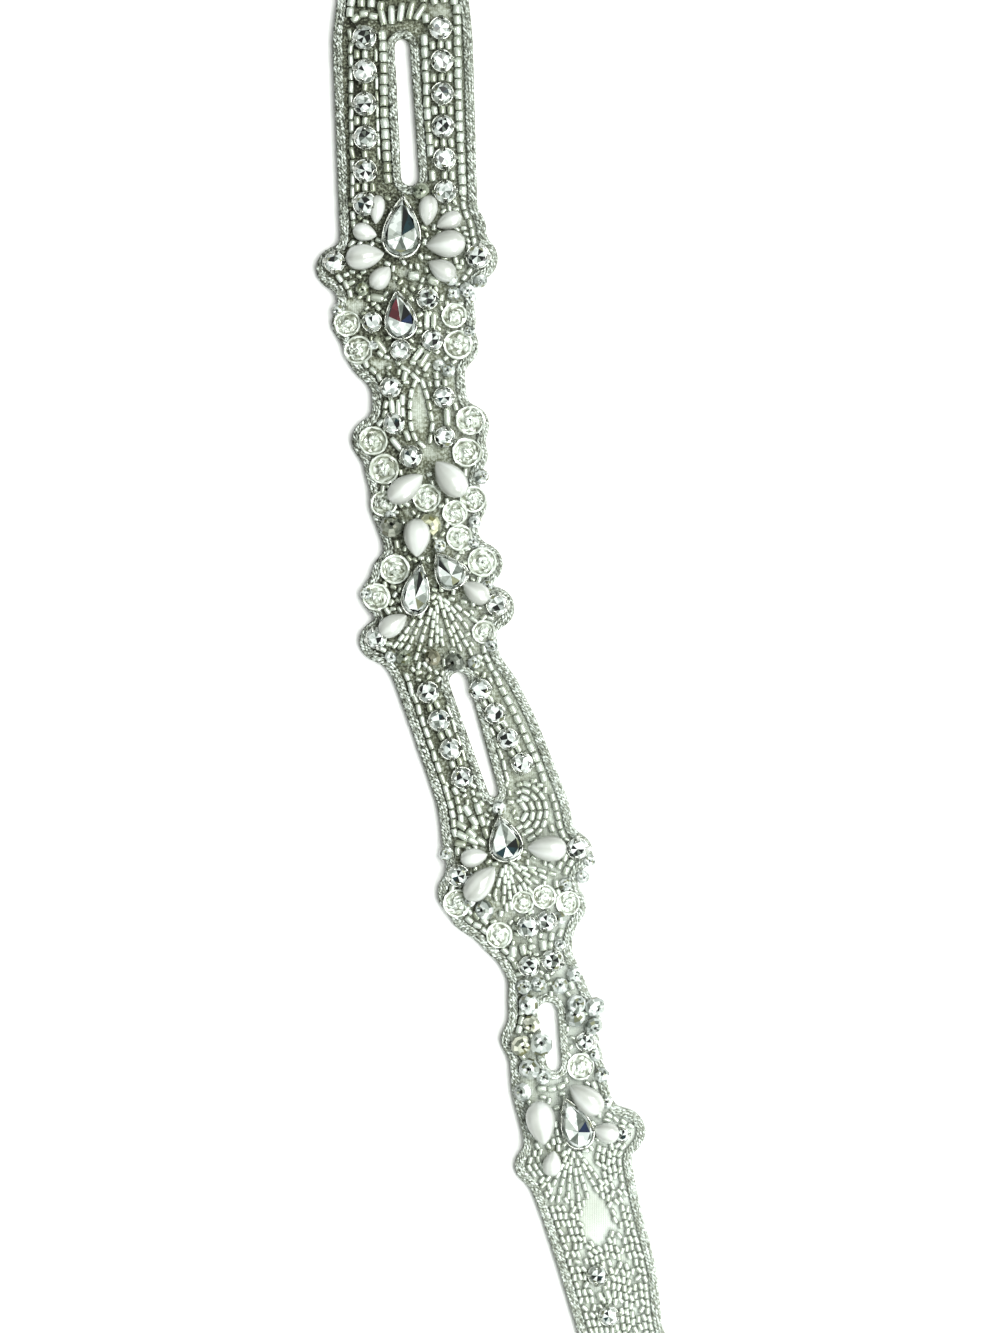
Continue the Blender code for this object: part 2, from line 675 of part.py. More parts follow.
def make_tie(end, centre):
    """A ribbon whose first run leaves the band and whose other runs lie folded on it.

    The hidden layers are one solid with a groove round it between each layer and the next.
    """
    near = end.radius + BAND_TO_FOLDS
    far = near + RUN_LENGTH
    half = RIBBON_WIDTH / 2
    first = rounded_box(RIBBON_START, far, -half, half)
    rings = [(first, 0.0), (first, RIBBON_WALL - LAYER_INSET)]
    for layer in range(1, RIBBON_RUNS):
        sway = 0.5 * math.sin(1.7 * layer)
        u_low = near + 0.9 * math.sin(2.1 * layer)
        u_high = far + 0.9 * math.sin(1.3 * layer + 1.0) - 0.9
        low = RIBBON_WALL + (layer - 1) * LAYER_PITCH
        full = rounded_box(u_low, u_high, sway - half, sway + half)
        groove = rounded_box(
            u_low + LAYER_INSET, u_high - LAYER_INSET, sway - half + LAYER_INSET, sway + half - LAYER_INSET
        )
        rings.append((groove, low))
        rings.append((full, low + LAYER_PITCH / 2))
    rings.append((groove, RIBBON_WALL + (RIBBON_RUNS - 1) * LAYER_PITCH))
    ahead = heading(end.heading)
    side = np.array([-ahead[1], ahead[0]])
    points = []
    for ring, z in rings:
        plan = np.array([end.x, end.y]) + ring[:, :1] * ahead + ring[:, 1:] * side
        points.append(np.column_stack([plan, np.full(len(ring), z)]))
    faces = ring_faces(len(rings), len(first))
    return solid(f"tie_{end.name}", "satin", np.vstack(points), faces, centre)


def plan_centre(outline):
    """The middle of the box round the band and both ties, in the plan."""
    points = [outline]
    half = RIBBON_WIDTH / 2
    for end in ENDS:
        ahead = heading(end.heading)
        side = np.array([-ahead[1], ahead[0]])
        box = rounded_box(RIBBON_START, end.radius + BAND_TO_FOLDS + RUN_LENGTH, -half, half)
        points.append(np.array([end.x, end.y]) + box[:, :1] * ahead + box[:, 1:] * side)
    every = np.vstack(points)
    return (every.min(axis=0) + every.max(axis=0)) / 2


def main():
    clear_scene()
    outline = band_outline()
    slots = [slot_outline(slot) for slot in SLOTS]
    centre = plan_centre(outline)
    make_band(outline, slots, centre)
    make_cord("edge_cord", outline - CORD_INSET * outward(outline), centre)
    for slot, line in zip(SLOTS, slots):
        make_cord(f"slot_cord_{slot.name}", line + CORD_INSET * outward(line), centre)
    for number, drop in enumerate(CRYSTALS, 1):
        make_crystal(f"crystal_{number}", drop, centre)
    for number, drop in enumerate(PEARLS, 1):
        make_pearl(f"pearl_{number:02d}", drop, centre)
    for end in ENDS:
        make_tie(end, centre)


main()
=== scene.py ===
# %% [markdown]
# # A beaded bridal sash, laid flat
# The sash is a cut-out band of backing cloth, edged with silver cord and covered with glass beads,
# claw-set stones, cup sequins and drop pearls. A satin ribbon tie is sewn under each end.
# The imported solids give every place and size. This script gives each piece its real surface.

# %% Load the frame
import math
from collections import namedtuple

import bpy
import numpy as np
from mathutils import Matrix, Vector
from mathutils.geometry import delaunay_2d_cdt


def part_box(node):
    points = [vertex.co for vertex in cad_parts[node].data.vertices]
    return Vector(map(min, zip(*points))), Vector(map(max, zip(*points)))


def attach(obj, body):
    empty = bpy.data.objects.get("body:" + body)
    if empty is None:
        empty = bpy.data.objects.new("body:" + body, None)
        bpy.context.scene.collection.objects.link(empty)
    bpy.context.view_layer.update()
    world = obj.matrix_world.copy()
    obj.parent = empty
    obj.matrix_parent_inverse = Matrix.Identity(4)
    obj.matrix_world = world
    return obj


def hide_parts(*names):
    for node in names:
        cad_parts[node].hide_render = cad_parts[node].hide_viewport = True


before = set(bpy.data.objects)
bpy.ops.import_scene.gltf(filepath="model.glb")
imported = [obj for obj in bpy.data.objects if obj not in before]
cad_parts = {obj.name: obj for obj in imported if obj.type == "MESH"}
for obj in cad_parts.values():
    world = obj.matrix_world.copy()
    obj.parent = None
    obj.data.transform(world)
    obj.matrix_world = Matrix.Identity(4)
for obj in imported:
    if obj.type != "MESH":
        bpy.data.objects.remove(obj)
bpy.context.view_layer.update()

# %% [markdown]
# ## The plan
# Everything is laid out in millimetres in the plan of the sash: x to the right, y up along it, with
# (0, 0) in the middle of the photograph. A place read from the photograph is given in its pixels,
# and one constant turns those into real sizes. The same table as in the solids gives the outline:
# at each y, the outermost of the plain edge, the scallops (parts of circles) and the round ends.

# %% The plan in numbers
MM = 0.001
PX_PER_MM = 5.0
PHOTO_MIDDLE = np.array([500.0, 666.5])
FLIP_Y = np.array([1.0, -1.0])
CLOTH_TOP = 1.2
LIFT = 1.3
LIFT_TOP = (146.0, 152.4)
LIFT_BOTTOM = (144.0, 150.4)

Section = namedtuple("Section", "y left right")
Lobe = namedtuple("Lobe", "x y radius")
End = namedtuple("End", "name x y radius heading")
Slot = namedtuple("Slot", "name x_high y_high r_high x_low y_low r_low")
Drop = namedtuple("Drop", "x y length width point")


def listed(kind, text):
    """The rows of a table: commas part the rows, and spaces part their numbers."""
    return [kind(*map(float, row.split())) for row in text.split(",")]


SECTIONS = listed(Section, """
    151 -31 -8.5, 142 -31.8 -7.4, 133.3 -32.6 -6.2, 125.3 -33.6 -5.4, 95.3 -32.4 -4.6, 85.3 -32 -4.4,
    73.3 -32.6 -5.2, 65.3 -31.6 -5.2, 58.9 -29.4 -7.2, 55.7 -25.6 -6.8, 49.3 -25.6 -6, 37.3 -26.4 -4.4,
    28.3 -24.8 -4.8, 22.9 -22.8 -3.2, 13.3 -24.4 -1.6, 2.3 -25 -0.2, -1.9 -21.6 3, -10.7 -18.4 7.4,
    -27.5 -12.6 14, -38.7 -10.8 15.6, -51.7 -9.6 15.2, -56.7 -2 14.2, -62.7 1.8 17, -66.7 1.6 18.4,
    -84.7 2.2 21.8, -94.7 4.8 25.6, -104.7 6.2 27.4, -109.7 8.2 28.6, -120.5 11.7 31.4,
    -130.7 14.8 32.4, -143 18.4 35.8, -151 20.6 39
""")
LEFT_LOBES = listed(Lobe, """
    -30 146.5 4.6, -32.4 79.7 4.5, -29.6 68.7 4.2, -27.2 63.3 4, -25 45.3 4.8, -22.8 39.5 4.4,
    -22 32.3 4.2, -21.6 18.9 4.1, -23.8 14.3 4.1, -24 5.1 4.3, -7.4 -34.3 4.4, -7.6 -45.3 5,
    0.2 -54.3 4.2, 4 -74.7 4, 6.8 -99.9 4, 22.6 -148 4.4
""")
RIGHT_LOBES = listed(Lobe, """
    -8.8 146.5 4.6, -7 87.7 4.4, -4.8 81.7 4.5, -8.6 69.3 3.9, -8.2 64.1 4.1, -6.2 48.3 4.2,
    -6.4 42.3 4.1, -6.6 32.5 4.1, -3.6 20.5 4.3, -1.2 11.7 4.3, 14.6 -37.1 4.1, 13.4 -47.9 4.1,
    16.4 -70.3 4.1, 24.4 -93.1 4.9, 36 -145 4.2
""")
ENDS = [End("top", -19.6, 154.5, 11.5, 90.0), End("bottom", 30.4, -155.0, 10.6, -73.4)]
SLOTS = [
    Slot("upper", -19.6, 124.2, 1.5, -18.0, 98.0, 1.8),
    Slot("middle", -8.3, -3.0, 1.9, -1.3, -25.2, 1.0),
    Slot("lower", 9.5, -69.2, 2.0, 10.8, -79.6, 1.4),
]
CRYSTALS = listed(Drop, """
    -19.6 87.9 12.4 7.6 88, -20 70.3 9.8 6.4 98, -16.6 15.5 10.6 5.6 81, -10.5 19.3 8.2 6 124,
    0.9 -34.3 9.4 6.6 102, 14.9 -91.1 10.8 6.2 112
""")
PEARLS = listed(Drop, """
    -24.6 91.3 5.6 2.8 -95, -14.4 91.1 6 3.4 -95, -27 86.7 4.8 3.2 -15, -27 81.9 7.6 4.6 8,
    -23.8 77.7 5.2 3.6 50, -10.2 89 5.4 3.2 205, -10.8 84.3 7.6 4.8 185, -11.6 79.3 6 3.8 150,
    -18.8 35.7 8.2 4.4 37, -10 37.5 8.4 5 130, -16.6 25.7 7.4 4.8 -90, -4.8 14.9 6 3.8 145,
    -21.4 8.3 6.4 3.8 35, 9.4 -36.3 7.6 4.6 178, -5.2 -38.1 5.4 3.4 12, -3.9 -43.3 8.4 4.6 49,
    8.2 -91.1 8.6 5.2 -82, 17.2 -86.3 8 4.6 140, 21.2 -93.1 5.2 3.8 165, 10.4 -99.3 5 3.4 82
""")


def plan(px, py):
    """The place in the plan of a pixel of the photograph."""
    return (np.array([px, py], float) - PHOTO_MIDDLE) * FLIP_Y / PX_PER_MM


def heading(degrees):
    """The unit direction at an angle from x."""
    angle = math.radians(degrees)
    return np.array([math.cos(angle), math.sin(angle)])


def lift(y):
    """How far the band is raised at y, where it lies over the sewn ends of the ribbons."""
    y = np.asarray(y, float)
    return np.interp(y, LIFT_TOP, (0.0, LIFT)) + np.interp(-y, LIFT_BOTTOM, (0.0, LIFT))


print("scallops:", len(LEFT_LOBES) + len(RIGHT_LOBES), "slots:", len(SLOTS), "pearls:", len(PEARLS))

# %% [markdown]
# ## Closed lines
# The outline and the slots are closed lines of points. One helper spaces the points evenly, one
# softens the notches as a cord does, and one gives the outward direction at each point. In the
# photograph the left side of the sash lies in shade, and its right side and lower end are washed with
# light. One function says how pale each place is, and the cloth, the cord and the beads all follow it.

# %% Lines in the plan
SOFT_REACH = 3.0
CORNER_LEAST = 0.75
PALE_AT = ([-120.0, -85.0, -62.0, -40.0, 10.0, 130.0], [1.0, 0.98, 0.72, 0.5, 0.22, 0.05])
PALE_ACROSS = 0.75
PALE_MIDDLE = 0.4
SIDES = np.array(sorted(SECTIONS)).T


def directions(vectors):
    """Each vector divided by its own length."""
    return vectors / np.linalg.norm(vectors, axis=1)[:, None]


def walked(line):
    """The length walked along an open line up to each of its points."""
    return np.append(0.0, np.cumsum(np.linalg.norm(np.diff(line, axis=0), axis=1)))


def resampled(points, step):
    """The closed line through the points at equal steps: x and y as functions of the length walked."""
    closed = np.vstack([points, points[:1]])
    along = walked(closed)
    wanted = np.linspace(0.0, along[-1], int(round(along[-1] / step)), endpoint=False)
    return np.column_stack([np.interp(wanted, along, closed[:, i]) for i in range(2)])


def softened(points, times):
    """Each point moved a quarter of the way to each neighbour, so many times."""
    for _ in range(times):
        points = 0.25 * np.roll(points, 1, axis=0) + 0.5 * points + 0.25 * np.roll(points, -1, axis=0)
    return points


def outward(points):
    """The outward unit direction at each point of an anticlockwise line, lengthened at a corner."""
    edges = np.roll(points, -1, axis=0) - points
    normals = directions(np.column_stack([edges[:, 1], -edges[:, 0]]))
    between = directions(normals + np.roll(normals, 1, axis=0))
    return between / np.maximum(np.sum(between * normals, axis=1), CORNER_LEAST)[:, None]


def band_outline(step):
    """The scalloped outline, up the right side and down the left one."""
    y = np.linspace(min(e.y - e.radius for e in ENDS), max(e.y + e.radius for e in ENDS), 4001)
    left = np.interp(y, SIDES[0], SIDES[1], left=np.inf, right=np.inf)
    right = np.interp(y, SIDES[0], SIDES[2], left=-np.inf, right=-np.inf)

    def reach(part):
        half_chord = np.sqrt(np.clip(part.radius**2 - (y - part.y) ** 2, 0.0, None))
        return np.where(np.abs(y - part.y) <= part.radius, half_chord, -np.inf)

    for part in ENDS + LEFT_LOBES:
        left = np.minimum(left, part.x - reach(part))
    for part in ENDS + RIGHT_LOBES:
        right = np.maximum(right, part.x + reach(part))
    line = np.vstack([np.column_stack([right, y]), np.column_stack([left, y])[::-1]])
    return softened(resampled(line, step), int(SOFT_REACH / step))


def slot_outline(slot, step):
    """A slot: half a circle at each end, joined by straight sides."""
    high = np.array([slot.x_high, slot.y_high])
    low = np.array([slot.x_low, slot.y_low])
    axis = math.atan2(high[1] - low[1], high[0] - low[0])
    turn = np.linspace(-math.pi / 2, math.pi / 2, 24) + axis
    round_end = np.column_stack([np.cos(turn), np.sin(turn)])
    return resampled(np.vstack([high + slot.r_high * round_end, low - slot.r_low * round_end]), step)


def inside(points, line):
    """Which points lie inside a closed line, by the crossings of a ray along x."""
    x, y = points[:, 0, None], points[:, 1, None]
    x1, y1 = line[:, 0], line[:, 1]
    x2, y2 = np.roll(x1, -1), np.roll(y1, -1)
    spans = (y1 > y) != (y2 > y)
    crossing = x1 + (y - y1) * (x2 - x1) / np.where(y1 == y2, 1.0, y2 - y1)
    return np.sum(spans & (x < crossing), axis=1) % 2 == 1


def distance_to_line(points, line):
    """How far each point is from a closed line."""
    edge = np.roll(line, -1, axis=0) - line
    to_point = points[:, None, :] - line[None]
    along = np.clip(np.sum(to_point * edge, axis=2) / np.sum(edge**2, axis=1), 0.0, 1.0)
    return np.linalg.norm(to_point - along[:, :, None] * edge, axis=2).min(axis=1)


def painted_light_at(points):
    """The painted light at each point, from 0 to 1: more to the right of the band and downwards."""
    y = points[:, 1]
    left, right = (np.interp(y, SIDES[0], SIDES[i]) for i in (1, 2))
    across = np.clip((points[:, 0] - left) / (right - left), 0.0, 1.0)
    return np.clip(np.interp(y, *PALE_AT) + PALE_ACROSS * (across - PALE_MIDDLE), 0.0, 1.0)


OUTLINE = band_outline(0.9)
SLOT_LINES = [slot_outline(slot, 0.8) for slot in SLOTS]
band_low, band_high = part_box("band")
CENTRE = (OUTLINE.min(axis=0) + OUTLINE.max(axis=0)) / 2
SHIFT = np.array([(band_low.x + band_high.x) / 2, (band_low.y + band_high.y) / 2]) / MM - CENTRE
print("outline points:", len(OUTLINE), "shift in mm:", SHIFT.round(2))

# %% [markdown]
# ## From arrays to meshes
# A shape is worked out as arrays of points and faces and written into the mesh at once. Hundreds of
# equal beads are one mesh: the points of a single bead are turned, scaled and moved for every place
# in one array product, which is far quicker than copying objects and keeps the file small.

# %% Mesh helpers
Shape = namedtuple("Shape", "points loops sizes")


def shape(points, faces):
    """Points and faces, a list or an array of rows, as flat arrays."""
    loops = np.array([i for face in faces for i in face])
    return Shape(np.asarray(points, float), loops, np.array([len(face) for face in faces]))


def joined(*shapes):
    """Several shapes in one."""
    shift = np.cumsum([0] + [len(s.points) for s in shapes])
    return Shape(
        np.vstack([s.points for s in shapes]),
        np.concatenate([s.loops + d for s, d in zip(shapes, shift)]),
        np.concatenate([s.sizes for s in shapes]),
    )


def grid_faces(rows, columns, wrap_rows=False, wrap_columns=False):
    """The quads of a grid of rows times columns points, closed round either way."""
    i = np.arange(rows if wrap_rows else rows - 1)
    j = np.arange(columns if wrap_columns else columns - 1)
    i, j = np.meshgrid(i, j, indexing="ij")
    k, l = (i + 1) % rows, (j + 1) % columns
    quads = np.stack([i * columns + j, i * columns + l, k * columns + l, k * columns + j], axis=-1)
    return quads.reshape(-1, 4)


def turned(along, radius, sides, caps=False, wrap=False):
    """A profile turned round x: point = (along, radius cos t, radius sin t)."""
    along, radius = np.asarray(along, float), np.asarray(radius, float)
    turn = np.arange(sides) * 2 * math.pi / sides
    across = [np.outer(radius, wave(turn)).ravel() for wave in (np.cos, np.sin)]
    points = np.column_stack([np.repeat(along, sides), *across])
    faces = [*grid_faces(len(along), sides, wrap_rows=wrap, wrap_columns=True)]
    if caps:
        last = (len(along) - 1) * sides
        faces += [tuple(range(sides))[::-1], tuple(last + i for i in range(sides))]
    return shape(points, faces)


def stood_up(made):
    """A shape turned round x, set upright so that its axis is z."""
    return made._replace(points=made.points[:, [1, 2, 0]])


def in_scene(name, data):
    """A new object for the data, linked to the scene."""
    placed = bpy.data.objects.new(name, data)
    bpy.context.scene.collection.objects.link(placed)
    return placed


def mesh_piece(name, made, finish, smooth=True, point_values=None, face_colours=None):
    """A mesh object at the origin from a shape in millimetres, with its finish and its values."""
    mesh = bpy.data.meshes.new(name)
    mesh.vertices.add(len(made.points))
    mesh.loops.add(len(made.loops))
    mesh.polygons.add(len(made.sizes))
    points = (made.points + np.append(SHIFT, 0.0)) * MM
    mesh.vertices.foreach_set("co", points.astype(np.float32).ravel())
    mesh.loops.foreach_set("vertex_index", made.loops.astype(np.int32))
    starts = np.append(0, np.cumsum(made.sizes)[:-1])
    mesh.polygons.foreach_set("loop_start", starts.astype(np.int32))
    mesh.polygons.foreach_set("use_smooth", np.full(len(made.sizes), smooth))
    for key, value in (point_values or {}).items():
        mesh.attributes.new(key, "FLOAT", "POINT").data.foreach_set("value", value.astype(np.float32))
    if face_colours is not None:
        rgba = np.column_stack([face_colours, np.ones(len(face_colours))]).astype(np.float32)
        mesh.attributes.new("facet", "FLOAT_COLOR", "FACE").data.foreach_set("color", rgba.ravel())
    mesh.update(calc_edges=True)
    mesh.validate()
    piece = in_scene(name, mesh)
    mesh.materials.append(finish)
    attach(piece, "root")
    print(name, "triangles:", int((made.sizes - 2).sum()))
    return piece


def thicken(piece, wall, offset):
    """Gives a sheet its wall in mm: offset -1 thickens it downwards, 0 both ways."""
    solid = piece.modifiers.new("wall", "SOLIDIFY")
    solid.thickness = wall * MM
    solid.offset = offset


def copies(unit, centre, ahead, up, scale):
    """The unit at many places: point = centre + x ahead + y side + z up, with its own scale each.

    ahead and up are unit directions of each copy, and side is up times ahead.
    """
    centre, ahead, up, scale = (np.atleast_2d(np.asarray(v, float)) for v in (centre, ahead, up, scale))
    side = np.cross(up, ahead)
    turn = np.stack([ahead, side, up], axis=1) * scale[:, :, None]
    points = np.einsum("vi,nij->nvj", unit.points, turn) + centre[:, None, :]
    count = len(centre)
    loops = unit.loops[None] + np.arange(count)[:, None] * len(unit.points)
    return Shape(points.reshape(-1, 3), loops.ravel(), np.tile(unit.sizes, count))


# %% [markdown]
# ## The camera, the table and the light
# The sash is photographed from straight above, so the camera looks down with +Y up in the picture.
# A long lens keeps the view nearly parallel. A large window to the right gives a soft light, which
# leaves the left side of every bead in shade, and a smaller lamp lights the lower stretch.

# %% Camera and stage
CAMERA_HEIGHT = 0.9
BEAD_LEVEL = 0.002
FRAME_HEIGHT_MM = 1333 / PX_PER_MM
SENSOR = 36.0
camera_data = bpy.data.cameras.new("camera")
camera_data.sensor_width = SENSOR
camera_data.lens = SENSOR * CAMERA_HEIGHT / (FRAME_HEIGHT_MM * MM)
camera = in_scene("camera", camera_data)
camera.location = (*(SHIFT * MM), CAMERA_HEIGHT + BEAD_LEVEL)
bpy.context.scene.camera = camera
bpy.context.scene.view_settings.view_transform = "Standard"


def area_light(name, place, aim, size, power, colour):
    """A square soft light at place that faces aim."""
    data = bpy.data.lights.new(name, "AREA")
    data.size = size
    data.energy = power
    data.color = colour
    light = in_scene(name, data)
    light.location = place
    light.rotation_euler = (Vector(aim) - Vector(place)).to_track_quat("-Z", "Y").to_euler()


area_light("window", (0.44, 0.12, 0.90), (0.0, 0.0, 0.0), 0.7, 13.5, (0.98, 1.0, 0.97))
area_light("lamp", (0.30, -0.36, 0.42), (0.02, -0.09, 0.0), 0.3, 3.2, (0.96, 1.0, 0.98))
print("lens in mm:", round(camera_data.lens, 1), "lights:", len(bpy.data.lights))


# %% [markdown]
# ## Shader maths as expressions
# A material's pattern is easier to read as a sum than as a list of links. Field wraps one socket and
# adds a Math node for each sign, and Finish makes every other node with one method.

# %% Shader helpers
def set_stops(ramp, stops):
    """The colours of a ramp, as (place, colour) pairs."""
    for place, colour in stops[2:]:
        ramp.elements.new(place)
    for element, (place, colour) in zip(ramp.elements, stops):
        element.position = place
        element.color = (*colour, 1.0)


class Field:
    """A number that varies over a surface: one socket, used in expressions."""

    def __init__(self, finish, socket):
        self.finish = finish
        self.socket = socket

    def maths(self, operation, first, second):
        return self.finish.node("ShaderNodeMath", {"operation": operation}, {0: first, 1: second})

    def __add__(self, other):
        return self.maths("ADD", self, other)

    def __sub__(self, other):
        return self.maths("SUBTRACT", self, other)

    def __rsub__(self, other):
        return self.maths("SUBTRACT", other, self)

    def __mul__(self, other):
        return self.maths("MULTIPLY", self, other)

    __radd__ = __add__
    __rmul__ = __mul__


class Finish:
    """A Principled material, built from nodes."""

    def __init__(self, name, **constants):
        self.material = bpy.data.materials.new(name)
        self.material.use_nodes = True
        self.tree = self.material.node_tree
        self.shader = self.tree.nodes["Principled BSDF"]
        for key, value in constants.items():
            self.shader.inputs[key.replace("_", " ")].default_value = value

    def node(self, kind, settings=None, inputs=None, output=0):
        """A node with its settings set first, then its inputs set or linked, as one output's Field."""
        made = self.tree.nodes.new(kind)
        for key, value in (settings or {}).items():
            if key == "stops":
                set_stops(made.color_ramp, value)
            else:
                setattr(made, key, value)
        for key, value in (inputs or {}).items():
            if isinstance(value, Field):
                self.tree.links.new(value.socket, made.inputs[key])
            else:
                made.inputs[key].default_value = value
        return Field(self, made.outputs[output])

    def place(self):
        return self.node("ShaderNodeTexCoord", output="Object")

    def value(self, attribute):
        return self.node("ShaderNodeAttribute", {"attribute_name": attribute}, output="Fac")

    def noise(self, scale, detail=2.0, roughness=0.5):
        inputs = {"Vector": self.place(), "Scale": scale, "Detail": detail, "Roughness": roughness}
        return self.node("ShaderNodeTexNoise", {}, inputs, output="Fac")

    def wave(self, direction, scale):
        inputs = {"Vector": self.place(), "Scale": scale}
        return self.node("ShaderNodeTexWave", {"bands_direction": direction}, inputs, output="Fac")

    def ramp(self, factor, stops):
        return self.node("ShaderNodeValToRGB", {"stops": stops}, {"Fac": factor}, output="Color")

    def feed(self, socket, value):
        self.tree.links.new(value.socket, self.shader.inputs[socket])

    def bump(self, height, strength, distance):
        inputs = {"Height": height, "Strength": strength, "Distance": distance}
        self.feed("Normal", self.node("ShaderNodeBump", {}, inputs, output="Normal"))


# %% [markdown]
# ## The finishes
# A silver-lined glass bead is bright along its middle, where the lining shows and a painted highlight lies
# on top, and dark olive in painted shade at its flanks and its ends. That is worked out for each point of a
# bead as one number, its shine. The foil of a cut stone shows as facets of very different brightness, so
# each facet has a painted reflection of its own, from nearly black to white, as in the photograph.

# %% Finishes
def cloth_finish():
    """Backing cloth: a plain weave in olive grey, pale where bare, with painted light and painted shade
    between beads.
    """
    made = Finish("backing_cloth", Roughness=0.85, Sheen_Weight=0.1)
    bare = made.value("bare") * 0.75
    speckle = made.noise(1900.0, 2.0, 0.6) * 1.3 * (1.0 - bare)
    tone = speckle - 0.35 + made.noise(110.0, 3.0) * 0.2 + bare
    stops = [
        (0.28, (0.018, 0.02, 0.01)), (0.48, (0.125, 0.137, 0.09)), (0.66, (0.37, 0.40, 0.345)),
        (0.85, (0.63, 0.675, 0.65)),
    ]
    made.feed("Base Color", made.ramp(tone, stops))
    made.bump(made.wave("X", 700.0) + made.wave("Y", 700.0), 0.3, 0.0002)
    return made.material


def cord_finish():
    """Silver metallic thread: each point of a ply has a painted glint or lies in painted shade, as on
    crinkled foil.
    """
    made = Finish("silver_cord", Metallic=0.25, Coat_Weight=0.15)
    grain = made.value("glint") * 0.8 + made.noise(1800.0) * 0.4
    stops = [(0.28, (0.02, 0.023, 0.014)), (0.6, (0.23, 0.25, 0.205)), (0.95, (0.66, 0.71, 0.68))]
    made.feed("Base Color", made.ramp(grain, stops))
    made.feed("Roughness", 0.6 - made.noise(1500.0) * 0.35)
    made.bump(made.noise(2600.0), 0.6, 0.0001)
    return made.material


def bead_finish():
    """Silver-lined glass: from the painted shade of its holes and flanks to the white of its lining under
    painted light.
    """
    made = Finish("seed_bead", Metallic=0.45, Roughness=0.2, Coat_Weight=1.0, Coat_Roughness=0.05)
    stops = [
        (0.0, (0.03, 0.034, 0.018)), (0.3, (0.14, 0.155, 0.10)), (0.55, (0.32, 0.35, 0.265)),
        (0.8, (0.49, 0.535, 0.465)), (1.0, (0.66, 0.715, 0.665)),
    ]
    made.feed("Base Color", made.ramp(made.value("shine"), stops))
    return made.material


def crystal_finish():
    """Foiled cut glass: each facet has a painted reflection in its own colour, broken up by straight-edged
    cells of painted reflection that stand for the back facets seen through it, under a clear, glossy
    surface."""
    looks = {"Specular_IOR_Level": 0.3, "Coat_Weight": 0.35, "Coat_Roughness": 0.02}
    made = Finish("crystal", Metallic=0.1, Roughness=0.08, **looks)
    facet = made.node("ShaderNodeAttribute", {"attribute_name": "facet"}, output="Color")
    cell = made.node("ShaderNodeTexVoronoi", {}, {"Vector": made.place(), "Scale": 950.0}, "Color")
    grey = made.node("ShaderNodeRGBToBW", {}, {0: cell})
    shade = made.ramp(grey, [(0.3, (0.42, 0.44, 0.43)), (0.55, (1.0, 1.0, 1.0))])
    times = {"data_type": "RGBA", "blend_type": "MULTIPLY"}
    made.feed("Base Color", made.node("ShaderNodeMix", times, {0: 0.8, 6: facet, 7: shade}, 2))
    return made.material


def setting_finish():
    """Plated claws: bright metal, a little worn on its high places."""
    made = Finish("setting", Metallic=1.0)
    stops = [(0.35, (0.40, 0.41, 0.36)), (0.65, (0.88, 0.90, 0.86))]
    made.feed("Base Color", made.ramp(made.noise(1200.0), stops))
    made.feed("Roughness", 0.14 + made.noise(600.0) * 0.25)
    return made.material


def pearl_finish():
    """Drop pearls: off-white under a clear lustre, with faint warm and cool clouds."""
    made = Finish("pearl", Roughness=0.28, Coat_Weight=0.7, Coat_Roughness=0.1, Subsurface_Weight=0.1)
    made.shader.inputs["Subsurface Radius"].default_value = (0.001, 0.001, 0.0009)
    clouds = made.noise(160.0, 3.0) * 0.5 + made.value("streak") * 0.5
    stops = [(0.3, (0.32, 0.33, 0.305)), (0.5, (0.46, 0.475, 0.45)), (0.7, (0.59, 0.61, 0.595))]
    made.feed("Base Color", made.ramp(clouds, stops))
    return made.material


def sequin_finish():
    """Clear cups: milky plastic whose rings have painted highlights and painted shade by turns."""
    made = Finish("sequin", Roughness=0.1, Coat_Weight=1.0, Coat_Roughness=0.03, Metallic=0.1)
    stops = [
        (0.0, (0.06, 0.066, 0.04)), (0.35, (0.23, 0.25, 0.19)), (0.65, (0.46, 0.50, 0.44)),
        (1.0, (0.84, 0.89, 0.85)),
    ]
    made.feed("Base Color", made.ramp(made.value("shine"), stops))
    return made.material


def satin_finish():
    """Ivory satin: fine lengthwise floats, with soft bands of painted sheen in its colour."""
    made = Finish("satin", Roughness=0.34, Sheen_Weight=0.3, Specular_IOR_Level=0.7)
    grain = made.wave("X", 1400.0)
    stops = [(0.25, (0.40, 0.385, 0.325)), (0.75, (0.50, 0.485, 0.42))]
    made.feed("Base Color", made.ramp(made.noise(50.0) * 0.7 + grain * 0.3, stops))
    made.bump(grain, 0.12, 0.0001)
    return made.material


def table_finish():
    """A pale table, all but even."""
    made = Finish("table", Roughness=0.6)
    stops = [(0.3, (0.90, 0.90, 0.90)), (0.7, (0.93, 0.93, 0.93))]
    made.feed("Base Color", made.ramp(made.noise(6.0), stops))
    return made.material


CLOTH, CORD, BEAD = cloth_finish(), cord_finish(), bead_finish()
CRYSTAL, SETTING, PEARL = crystal_finish(), setting_finish(), pearl_finish()
SEQUIN, SATIN = sequin_finish(), satin_finish()

TABLE_HALF = 6.0
TABLE_LEVEL = -0.0002
table_mesh = bpy.data.meshes.new("table")
low, high = -TABLE_HALF, TABLE_HALF
corners = [(x, y, TABLE_LEVEL) for x, y in ((low, low), (high, low), (high, high), (low, high))]
table_mesh.from_pydata(corners, [], [(0, 1, 2, 3)])
table_mesh.materials.append(table_finish())
in_scene("table", table_mesh)

